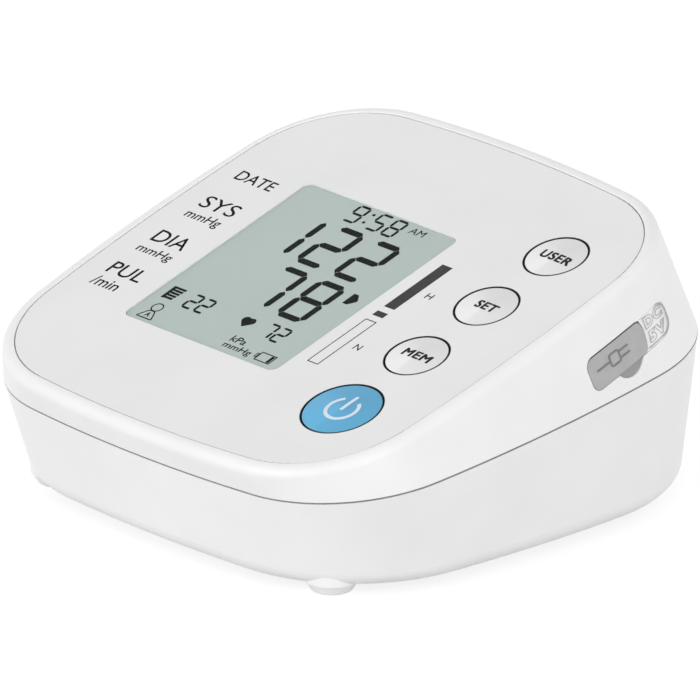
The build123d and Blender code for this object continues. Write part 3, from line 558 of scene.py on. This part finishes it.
# %% The numbers
NUMBERS = (((("1", -17.0), ("2", -4.8), ("2", 7.4)), (9.15, 5.0, 20.6, 1.8, 0.35)),
           ((("7", -4.8), ("8", 7.4)), (9.15, -12.8, 2.9, 1.8, 0.35)),
           ((("9", -6.6), ("5", 0.8), ("8", 5.8)), (4.0, 22.2, 28.9, 0.72, 0.25)),
           ((("2", -15.0), ("2", -11.1)), (3.35, -21.1, -15.4, 0.68, 0.2)),
           ((("7", 10.3), ("2", 14.15)), (3.35, -21.1, -15.4, 0.68, 0.2)))
reading = []
for places, form in NUMBERS:
    for sign, left in places:
        reading += digit(sign, left, *form)
DOT_X, DOT_RADIUS = -0.8, 0.4
for dot_y in (27.2, 23.95):
    reading.append(sheet(DOT_X - DOT_RADIUS, DOT_X + DOT_RADIUS, dot_y - DOT_RADIUS, dot_y + DOT_RADIUS,
                         corner=DOT_RADIUS / 2))
print(len(reading), "bars and dots are lit")

# %% [markdown]
# The small signs come next: a pointer, a heart, a note sheet, a person and a battery. The pointer is a
# short bar whose right edge is extruded and drawn together. The heart is a square stood on its corner,
# with half a disc on each of its upper sides. A bisect cuts the disc in half, and merging the doubles
# makes one shape of the three. The person is a disc over a cloak, a sheet whose top edge is narrowed
# before its corners are rounded.

# %% Pointer and heart
pointer = sheet(19.1, 20.6, -1.9, 2.1)
edit_points(pointer, lambda place: place.x > 20 * MM)
bpy.ops.mesh.extrude_region_move(TRANSFORM_OT_translate={"value": (1.4 * MM, 0, 0)})
bpy.ops.transform.resize(value=(1, 0.12, 1), center_override=(22 * MM, 0.1 * MM, 0))
close_edit()

SIDE = 2.35
heart = [sheet(-SIDE / 2, SIDE / 2, -SIDE / 2, SIDE / 2)]
for turn, x, y in ((0, 0, SIDE / 2), (math.pi / 2, -SIDE / 2, 0)):
    half = disc(0, 0, SIDE / 2)
    edit(half)
    bpy.ops.mesh.bisect(plane_co=(0, 0, 0), plane_no=(0, 1, 0), clear_inner=True)
    close_edit()
    half.rotation_euler = (0, 0, turn)
    half.location = (x * MM, y * MM, 0)
    heart.append(half)
heart = joined("heart", heart)
settle()
heart.rotation_euler = (0, 0, -math.pi / 4)
heart.location = (4.5 * MM, -18.35 * MM, 0)
settle()
edit(heart)
bpy.ops.mesh.remove_doubles(threshold=0.01 * MM)
close_edit()
signs = [pointer, heart]
print("pointer and heart are ready")

# %% Note sheet, person and battery
SHEET_TOP, ROWS, ROW_PITCH, ROW_HEIGHT, ROW_LOSS = -15.6, 5, 0.98, 0.7, 0.15
signs.append(sheet(-22.1, -21.2, -20.4, SHEET_TOP))
for row in range(ROWS):
    high = SHEET_TOP - row * ROW_PITCH
    signs.append(sheet(-21.2, -18.1 - ROW_LOSS * row, high - ROW_HEIGHT, high))

HEAD_X, SHOULDERS, PERSON_LINE = -19.4, -25.3, 0.32
signs.append(outlined(disc(HEAD_X, -23.9, radius=1.6), PERSON_LINE))
cloak = sheet(-22.1, -16.7, -28.5, SHOULDERS)
edit_points(cloak, lambda place: place.y > -26 * MM)
bpy.ops.transform.resize(value=(0.36, 1, 1), center_override=(HEAD_X * MM, SHOULDERS * MM, 0))
bpy.ops.mesh.select_all(action="SELECT")
bpy.ops.mesh.bevel(offset=0.6 * MM, segments=4, affect="VERTICES")
close_edit()
signs.append(outlined(cloak, PERSON_LINE))

signs.append(outlined(sheet(17.0, 22.0, -28.1, -24.9), line=0.3))
signs.append(outlined(sheet(16.2, 17.0, -27.3, -25.7), line=0.25))
signs.append(sheet(20.6, 21.5, -27.7, -25.3))
print(len(signs), "signs")

# %% [markdown]
# The units and the mark for the morning are words. All of the picture then becomes one piece, a layer of
# dark crystal on the field. The picture is drawn a little to the left and up, since it lies under the
# window's top.

# %% The whole picture
PICTURE_MIDDLE = Matrix.Translation(((WINDOW["x"] - 0.5) * MM, (WINDOW["y"] + 0.36) * MM, 0))
units = [words("AM", 11.8, 16.4, 25.9, 28.0),
         words("kPa", 6.1, 10.8, -25.4, -23.2, weight=0.02),
         words("mmHg", 6.1, 15.0, -28.4, -25.9, weight=0.02),
         words("A", -20.1, -18.7, -27.7, -26.1, weight=0.03)]
picture = thicken(joined("display_picture", reading + signs + units))
lay(picture, FACE @ PICTURE_MIDDLE, FIELD_TOP - SUNK / 2, "console", dark_crystal)

# %% [markdown]
# ## The print on the film
#
# To the left of the window stand the names of the readings, and to its right a level scale: a full bar
# for high, a small one, and an open bar for normal. The words are screen printed in a near black ink and
# the scale in a dark grey one. Both inks are matt and a little uneven. As in the picture, places are
# millimetres from the middle of the window.

# %% Ink and labels
screen_ink, shader = plain("screen_ink_black", Roughness=0.6, Specular_IOR_Level=0.07)
drift(screen_ink, shader, "101010", "181818", size_mm=1.5)

labels = [words("DATE", -42.9, -30.8, 22.3, 25.8, weight=0.02),
          words("SYS", -42.4, -31.2, 10.3, 14.8),
          words("mmHg", -42.3, -31.2, 5.0, 8.6, weight=0.025),
          words("DIA", -42.2, -31.6, -5.0, -0.5, weight=0.02),
          words("mmHg", -42.3, -31.2, -10.3, -6.9, weight=0.025),
          words("PUL", -42.2, -31.3, -19.2, -14.8, weight=0.02),
          words("/min", -42.2, -33.9, -24.3, -20.8, weight=0.025),
          words("H", 35.2, 37.1, 8.6, 10.6, weight=0.01),
          words("N", 35.2, 37.1, -14.1, -12.1, weight=0.01)]
ON_FILM = Matrix.Translation((WINDOW["x"] * MM, WINDOW["y"] * MM, 0))
lay(thicken(joined("film_labels", labels)), FACE @ ON_FILM, -SUNK, "console", screen_ink)

# %% Level scale
scale_ink, shader = plain("screen_ink_grey", Roughness=0.6, Specular_IOR_Level=0.12)
drift(scale_ink, shader, "3C3C3C", "454545", size_mm=2)
scale = [sheet(29.25, 32.6, 1.75, 20.4), sheet(29.25, 32.6, -2.0, -0.15),
         outlined(sheet(29.15, 32.7, -22.6, -3.8), line=0.28)]
lay(thicken(joined("level_scale", scale)), FACE @ ON_FILM, -SUNK, "console", scale_ink)


# %% [markdown]
# ## Legends on the keys
#
# A key's crown is a shallow dome, so a flat word would sink into it in the middle or stand off at its
# ends. The word is first cut into narrow strips with bisects, since a face can bend only at its edges.
# It is then laid just over the crown, a Shrinkwrap modifier pulls each of its points down to the key, and
# Solidify gives the ink its thickness. The letters are bold, which a pad printer gets by striking the
# same word four times, a hair's breadth apart. The legends ride on their keys, and go down with them.
# Their places are millimetres from the middle of the window too, moved by less than half a millimetre,
# because a crown stands higher than the film.

# %% Helper for print on a dome
ON_KEYS = Matrix.Translation(((WINDOW["x"] + 0.36) * MM, (WINDOW["y"] - 0.26) * MM, 0))
STRIP, OVER_CROWN = 0.8, 0.5
LIFT = 0.02 * MM


def sliced(piece, step_mm):
    """Cuts a flat shape into strips both ways, without taking anything away."""
    for axis, way in enumerate(((1, 0, 0), (0, 1, 0))):
        places = [v.co[axis] for v in piece.data.vertices]
        cut = min(places) + step_mm * MM
        while cut < max(places):
            edit(piece)
            bpy.ops.mesh.bisect(plane_co=[cut * share for share in way], plane_no=way)
            close_edit()
            cut += step_mm * MM
    return piece


def wrap_on_key(piece, key, finish):
    """Lays a flat shape over a key and shrinks it onto the crown."""
    lay(sliced(piece, STRIP), FACE @ ON_KEYS, OVER_CROWN, key + "_key", finish)
    only(piece)
    wrap = piece.modifiers.new("to_crown", "SHRINKWRAP")
    wrap.target = nodes["key_" + key]
    wrap.offset = LIFT
    bpy.ops.object.modifier_apply(modifier=wrap.name)
    layer = piece.modifiers.new("ink_layer", "SOLIDIFY")
    layer.thickness = INK
    layer.offset = 1
    bpy.ops.object.modifier_apply(modifier=layer.name)


key_ink, shader = plain("pad_print_ink", Roughness=0.5, Specular_IOR_Level=0.12)
drift(key_ink, shader, "1A1A1B", "242425", size_mm=1.2)
LEGENDS = {"user": ("USER", 46.85, 56.3, 33.7, 36.5), "set": ("SET", 48.25, 54.6, 11.75, 14.5),
           "mem": ("MEM", 47.0, 55.6, -10.1, -7.5)}
OVER, UP = 0.13, 0.09
for key, (text, left, right, low, high) in LEGENDS.items():
    struck = []
    for over, up in ((-OVER, -UP), (OVER, -UP), (-OVER, UP), (OVER, UP)):
        struck.append(words(text, left + OVER, right - OVER, low + UP, high - UP, spacing=1.1))
        struck[-1].location = (over * MM, up * MM, 0)
    legend = joined("legend_" + key, struck)
    settle()
    wrap_on_key(legend, key, key_ink)

# %% [markdown]
# The power sign is a ring with a gap at its top and a bar in the gap. The ring is a disc with an inset,
# whose inner face is taken away, and then the faces up to 33 degrees on each side of its top. The bar
# has round ends.

# %% Power sign
pale_ink, shader = plain("pad_print_ink_pale", Roughness=0.45)
drift(pale_ink, shader, "D9E6F1", "E0EAF4", size_mm=2)

SIGN_X, SIGN_Y, SIGN_RADIUS, SIGN_LINE = 51.3, -32.5, 4.35, 0.92
HALF_GAP = 33
ring = outlined(disc(SIGN_X, SIGN_Y, SIGN_RADIUS, corners=72), line=SIGN_LINE)
for face in ring.data.polygons:
    offset = face.center - Vector((SIGN_X, SIGN_Y, 0)) * MM
    face.select = abs(math.degrees(math.atan2(offset.x, offset.y))) < HALF_GAP
bpy.ops.object.mode_set(mode="EDIT")
bpy.ops.mesh.select_mode(type="FACE")
bpy.ops.mesh.delete(type="FACE")
close_edit()
half = SIGN_LINE / 2
stroke = sheet(SIGN_X - half, SIGN_X + half, SIGN_Y - 0.6, SIGN_Y + 5.2, corner=0.44)
wrap_on_key(joined("legend_power", [ring, stroke]), "power", pale_ink)


# %% [markdown]
# ## Raised marks at the port
#
# The wall round the port leans and bends a little, so its plane is measured: a ray from outside finds
# the surface, and its normal says which way the mark faces. The shallow field behind the cover has the
# supply voltage in raised outline letters. The cover has a plain plug sign. Both are moulded with the
# part they are on. Their lines are of the same plastic and rubber, painted in a darker tone: painted
# shade, for the shade at the foot of so fine a line.

# %% Helper for the wall's plane
OUTSIDE = Vector((100, 0, 0)) * MM


def wall_plane(node, along_mm, up_mm):
    """The plane of a node's outer surface at a place on the right wall, in the face's own directions."""
    along, up = FACE.to_3x3() @ Vector((0, 1, 0)), FACE.to_3x3() @ Vector((0, 0, 1))
    start = FACE_MIDDLE + along * along_mm * MM + up * up_mm * MM + OUTSIDE
    hit, point, normal, _ = nodes[node].ray_cast(start, Vector((-1, 0, 0)))
    side = (along - normal * along.dot(normal)).normalized()
    upward = normal.cross(side)
    plane = Matrix((side, upward, normal)).transposed().to_4x4()
    plane.translation = point
    print(node, "is hit:", hit, "at", [round(c / MM, 2) for c in point])
    return plane


# %% Raised voltage mark
def raised_word(text, left, right, low, high):
    """Letters drawn as a raised line along their outline; the line's width is a share of their height."""
    return lettering(text, left, right, low, high, fill_mode="NONE", bevel_depth=0.035, resolution_u=3,
                     bevel_resolution=1, offset=0.05, space_character=1.2)


# painted shade: the raised letters are a darker grey than the wall
mark_abs, shader = plain("gloss_abs_raised_line", Roughness=0.4, IOR=1.53)
drift(mark_abs, shader, "C6C6C6", "CECECE", size_mm=1.5)

label_field = wall_plane("upper_housing", along_mm=38.9, up_mm=-13.6)
marks = [raised_word("DC", -3.6, 3.3, 0.2, 3.2), raised_word("5V", -3.6, 3.3, -3.4, -0.4)]
MARK_LIFT = 0.03
lay(joined("voltage_mark", marks), label_field, MARK_LIFT, "console", mark_abs)

# %% [markdown]
# A fine raised line in a darker grey follows the edge of the field: painted shade along the field's
# edge. It is a rounded sheet with an inset, of which a bisect takes away the part that the cover hides.

# %% Line round the field
COVER_END, LINE_RISE = -4.6 * MM, 0.12 * MM
edge_shade_line = outlined(sheet(-22.8, 4.4, -3.98, 3.82, corner=2.9), line=0.22)
edit(edge_shade_line)
bpy.ops.mesh.bisect(plane_co=(COVER_END, 0, 0), plane_no=(1, 0, 0), clear_inner=True)
close_edit()
# painted shade: a darker grey line along the field's edge
edge_shade_abs, shader = plain("gloss_abs_field_edge_shade", Roughness=0.4, IOR=1.53)
drift(edge_shade_abs, shader, "A6A6A6", "B0B0B0", size_mm=1.5)
lay(thicken(joined("field_edge_shade", [edge_shade_line]), LINE_RISE), label_field, 0.0, "console", edge_shade_abs)

# %% [markdown]
# The plug sign is drawn in lines as well, as wide as the cutter that engraves the mould: a lead, the
# outline of a rounded body, and two pins.

# %% Raised plug sign on the cover
# painted shade: the plug sign's lines are a darker grey than the cover
mark_rubber, shader = plain("thermoplastic_rubber_raised_line", Roughness=0.6, IOR=1.5)
drift(mark_rubber, shader, "7C7C7D", "868687", size_mm=1.5)

plug = [sheet(-6.0, -1.7, -0.22, 0.22), outlined(sheet(-1.8, 1.7, -1.65, 1.65, corner=0.8), line=0.42),
        sheet(1.6, 4.6, 0.6, 1.04), sheet(1.6, 4.6, -1.04, -0.6)]
PLUG_DEPTH, PLUG_SUNK = 0.26 * MM, 0.08
plug_sign = thicken(joined("plug_sign", plug), PLUG_DEPTH)
cover_face = wall_plane("port_cover", along_mm=24.0, up_mm=-13.4)
lay(plug_sign, cover_face, -PLUG_SUNK, "port_flap", mark_rubber)

# %% [markdown]
# ## Finishes of what is inside
#
# Most of the inside never shows, but the battery door opens, and someone may take the console apart. So
# each piece gets the finish of the real one, with less effort spent on it.

# %% Display stack
reflector, shader = plain("white_diffuser_film", Roughness=0.8)
drift(reflector, shader, "E4E4DE", "ECECE7", size_mm=12)
dress(reflector, "lcd_reflector")

cell_glass, shader = plain("polarised_glass", Roughness=0.12, IOR=1.52)
drift(cell_glass, shader, "A9B4AF", "B2BCB7", size_mm=25)
dress(cell_glass, "lcd_front_glass", "lcd_rear_glass")

natural_abs, shader = plain("natural_abs", Roughness=0.5, IOR=1.53)
drift(natural_abs, shader, "DDDCD3", "E5E4DC", size_mm=10)
relief(natural_abs, shader, size_mm=0.4, depth_mm=0.01, strength=0.5)
dress(natural_abs, "lcd_frame", "air_junction")

pink_silicone, shader = plain("conductive_silicone", Roughness=0.7)
place = add(pink_silicone, "TexCoord")
stripes = add(pink_silicone, "TexWave", {"Vector": (place, "Object"), "Scale": per(6.0)},
              bands_direction="X")
tones = add(pink_silicone, "ValToRGB", {"Fac": (stripes, "Fac")})
tones.color_ramp.elements[0].color = paint("3A3534")
tones.color_ramp.elements[1].color = paint("D8A79C")
wire(tones, "Color", shader)
dress(pink_silicone, "elastomer_strip")

# %% [markdown]
# The board is glass-filled epoxy under green solder mask. Tracks show through the mask as slightly
# lighter lines: a brick pattern of long thin bricks gives lines that run, step and stop as tracks do.

# %% Board and components
solder_mask, shader = plain("green_solder_mask", Roughness=0.3, IOR=1.5, Coat_Weight=0.3)
place = add(solder_mask, "TexCoord")
tracks = add(solder_mask, "TexBrick", {"Vector": (place, "Object"), "Scale": per(1.6), "Mortar Size": 0.06,
                                       "Brick Width": 6.0, "Row Height": 1.0, "Color1": paint("16633F"),
                                       "Color2": paint("1A6D46"), "Mortar": paint("2C8A5E")})
wire(tracks, "Color", shader)
dress(solder_mask, "main_board")

epoxy, shader = plain("moulded_epoxy_black", Roughness=0.55)
drift(epoxy, shader, "1B1B1C", "232324", size_mm=1.5)
relief(epoxy, shader, size_mm=0.25, depth_mm=0.01, strength=0.6)
dress(epoxy, "processor_chip", "buzzer", "pressure_sensor", "switch_bodies")

nylon, shader = plain("natural_nylon", Roughness=0.45, Subsurface_Weight=0.1, Subsurface_Scale=0.001)
drift(nylon, shader, "DAD2B6", "E2DBC2", size_mm=2)
dress(nylon, "plunger_user", "plunger_set", "plunger_mem", "plunger_power")

# %% [markdown]
# Screws are zinc plated steel and the contacts are nickel plated spring steel. A bright metal shows its
# surroundings, so what makes it look real is an uneven roughness: fine scratches in the plating.

# %% Metals
def plated(name, darker, lighter, roughness, grain_mm):
    """A plated metal whose tone and shine vary with its grain, between two values of each."""
    material, shader = plain(name, Metallic=1.0)
    drift(material, shader, darker, lighter, grain_mm)
    place = add(material, "TexCoord")
    grain = add(material, "TexNoise", {"Vector": (place, "Object"), "Scale": per(grain_mm), "Detail": 4.0})
    shine = add(material, "MapRange", {"Value": (grain, "Fac"), "To Min": roughness[0],
                                       "To Max": roughness[1]})
    wire(shine, "Result", shader, "Roughness")
    return material


dress(plated("zinc_plated_steel", "B9BCBE", "CDD0D2", roughness=(0.2, 0.45), grain_mm=0.5),
      "board_screws", "pump_screws", "case_screws")
dress(plated("nickel_plated_spring_steel", "C6C3BB", "D8D5CD", roughness=(0.15, 0.35), grain_mm=0.8),
      "battery_bridges", "battery_terminals", "pump_clamp", "socket_clip", "usb_receptacle")
dress(plated("zinc_plated_motor_can", "A4A8AB", "B8BBBD", roughness=(0.25, 0.45), grain_mm=1.5),
      "pump_motor")
dress(plated("valve_yoke_steel", "ABADAE", "BDBFC0", roughness=(0.3, 0.5), grain_mm=1.0),
      "exhaust_valve")

# %% Rubber, tubes and the air socket
pump_nylon, shader = plain("glass_filled_nylon", Roughness=0.5)
drift(pump_nylon, shader, "202122", "2B2C2D", size_mm=3)
relief(pump_nylon, shader, size_mm=0.6, depth_mm=0.015, strength=0.6)
dress(pump_nylon, "pump_head")

sleeve_rubber, shader = plain("epdm_rubber", Roughness=0.75)
drift(sleeve_rubber, shader, "262627", "303031", size_mm=3)
dress(sleeve_rubber, "pump_sleeve")

silicone, shader = plain("clear_silicone", Roughness=0.35, IOR=1.43, Subsurface_Weight=0.3,
                         Subsurface_Scale=0.003)
drift(silicone, shader, "D9DCDA", "E4E6E4", size_mm=5)
dress(silicone, "tube_socket", "tube_valve", "tube_pump", "tube_sensor")

socket_plastic, shader = plain("acetal_grey", Roughness=0.35, IOR=1.48)
drift(socket_plastic, shader, "8B8D8F", "949698", size_mm=4)
relief(socket_plastic, shader, size_mm=0.4, depth_mm=0.006, strength=0.4)
dress(socket_plastic, "air_socket")

# %% [markdown]
# ## Battery cells
#
# An AA cell wears a shrunk plastic jacket: dark along the body, with a copper-coloured band at its
# positive end. The ends are bare steel. The bands follow the cell's length, which runs along the table's
# Y axis, so the colour steps with the Y of Object coordinates. Cells alternate, so there are two jackets.

# %% Jackets
def jacket(name, positive, negative):
    """A jacket for cells whose two ends are at these places along Y, in millimetres."""
    material, shader = plain(name, Roughness=0.25, Coat_Weight=0.4, Metallic=0.3)
    place = add(material, "TexCoord")
    along = add(material, "SeparateXYZ", {"Vector": (place, "Object")})
    share = add(material, "MapRange", {"Value": (along, "Y"), "From Min": positive * MM,
                                       "From Max": negative * MM})
    bands = add(material, "ValToRGB", {"Fac": (share, "Result")})
    ramp = bands.color_ramp
    ramp.interpolation = "CONSTANT"
    ramp.elements[0].color = paint("C9C9C6")
    ramp.elements[1].position = 0.045
    ramp.elements[1].color = paint("B87A44")
    for position, code in ((0.27, "D9D9D7"), (0.285, "23262A"), (0.975, "C9C9C6")):
        ramp.elements.new(position).color = paint(code)
    wire(bands, "Color", shader)
    relief(material, shader, size_mm=2.0, depth_mm=0.01, strength=0.3)
    return material


dress(jacket("cell_jacket_front", positive=-41.6, negative=8.9), "battery_cell_1", "battery_cell_3")
dress(jacket("cell_jacket_back", positive=11.6, negative=-38.9), "battery_cell_2", "battery_cell_4")

# %% [markdown]
# ## Studio
#
# A product like this is shown on a plain white sweep. The floor is a large white sheet that keeps a faint
# soft shadow. The camera sees it a little brighter than it is, so that it joins the white surround
# without an edge. The world is that surround: seen directly, in gloss and through glass it is plain
# white. As a light it is that of a light tent, brightest round its edge and weaker at its top, so the
# walls come out a little brighter than the face. Two large soft lamps, low in front and at the right,
# shape the form and give the rim its soft light edge.

# %% Floor
FLOOR_WIDTH = 12
LIT_PAPER, SEEN_PAPER, SEEN_GLOW = 0.55, 0.30, 0.80

bpy.ops.object.select_all(action="DESELECT")
bpy.ops.mesh.primitive_plane_add(size=FLOOR_WIDTH)
floor = bpy.context.object
floor.name = "studio_floor"
edit(floor)
bpy.ops.mesh.subdivide(number_cuts=3)
close_edit()


def seen_share(owner):
    """1 for what is seen directly, in gloss or through glass, and 0 for what only gives light."""
    ray = add(owner, "LightPath")
    seen = add(owner, "Math", {0: (ray, "Is Camera Ray"), 1: (ray, "Is Glossy Ray")}, operation="MAXIMUM")
    return add(owner, "Math", {0: (seen, "Value"), 1: (ray, "Is Transmission Ray")}, operation="MAXIMUM")


paper, shader = plain("white_paper", Roughness=0.9, Specular_IOR_Level=0.0, Emission_Color=paint("FFFFFF"))
seen = seen_share(paper)
tone = add(paper, "MapRange", {"Value": (seen, "Value"), "To Min": LIT_PAPER, "To Max": SEEN_PAPER})
glow = add(paper, "MapRange", {"Value": (seen, "Value"), "To Min": 0.0, "To Max": SEEN_GLOW})
wire(tone, "Result", shader)
wire(glow, "Result", shader, "Emission Strength")
floor.data.materials.append(paper)

# %% Surround
SURROUND_TOP, SURROUND_EDGE = 0.27, 1.45
world = bpy.data.worlds.new("surround")
bpy.context.scene.world = world
world.use_nodes = True
surround = world.node_tree.nodes["Background"]
surround.inputs["Color"].default_value = (1, 1, 1, 1)
toward = add(world, "SeparateXYZ", {"Vector": (add(world, "TexCoord"), "Generated")})
height = add(world, "Math", {0: (toward, "Z")}, operation="ABSOLUTE")
given = add(world, "MapRange", {"Value": (height, "Value"), "To Min": SURROUND_EDGE,
                                "To Max": SURROUND_TOP})
strength = add(world, "Mix", {"Factor": (seen_share(world), "Value"), "A": (given, "Result"), "B": 1.0},
               data_type="FLOAT")
wire(strength, "Result", surround, "Strength")
print("floor and surround are ready")


# %% Lamps
LAMP_DISTANCE, LAMP_SIZE = 2.5, 1.8
CONSOLE_MIDDLE = Vector((0, 0, 30)) * MM


def softbox(name, toward, light):
    """A square soft lamp that looks at the console and gives it so much light, 1 being a white sheet."""
    place = Vector(toward).normalized() * LAMP_DISTANCE + CONSOLE_MIDDLE
    bpy.ops.object.select_all(action="DESELECT")
    bpy.ops.object.light_add(type="AREA", location=place)
    lamp = bpy.context.object
    lamp.name = name
    lamp.data.size = LAMP_SIZE
    lamp.visible_camera = False
    lamp.data.energy = light * (math.pi * LAMP_DISTANCE) ** 2
    lamp.rotation_euler = (CONSOLE_MIDDLE - place).to_track_quat("-Z", "Y").to_euler()


softbox("lamp_front", (-0.15, -0.93, 0.34), light=0.28)
softbox("lamp_right", (0.91, -0.20, 0.34), light=0.22)
print("two lamps")

# %% [markdown]
# ## Camera
#
# The product is seen from its front right corner, a little from above, and from so far away that upright
# lines stay upright. A very long lens does that. Its distance follows from the lens, and from the width
# of the view at the middle of the object.

# %% Camera
VIEW_WIDTH = 157.2 * MM
LENS, SENSOR = 1500, 36
NEAR, FAR = 1, 8
toward_camera = Vector((0.6923, -0.6308, 0.3506)).normalized()
aim = Vector((1.83, -2.38, 33.12)) * MM
eye = bpy.data.objects.new("camera", bpy.data.cameras.new("camera"))
bpy.context.scene.collection.objects.link(eye)
eye.data.lens = LENS
eye.data.sensor_width = SENSOR
distance = VIEW_WIDTH * LENS / SENSOR
eye.location = aim + toward_camera * distance
eye.rotation_euler = toward_camera.to_track_quat("Z", "Y").to_euler()
eye.data.clip_start = distance - NEAR
eye.data.clip_end = distance + FAR
bpy.context.scene.camera = eye
bpy.context.scene.view_settings.view_transform = "Standard"
print("the camera stands", round(distance, 2), "m away")
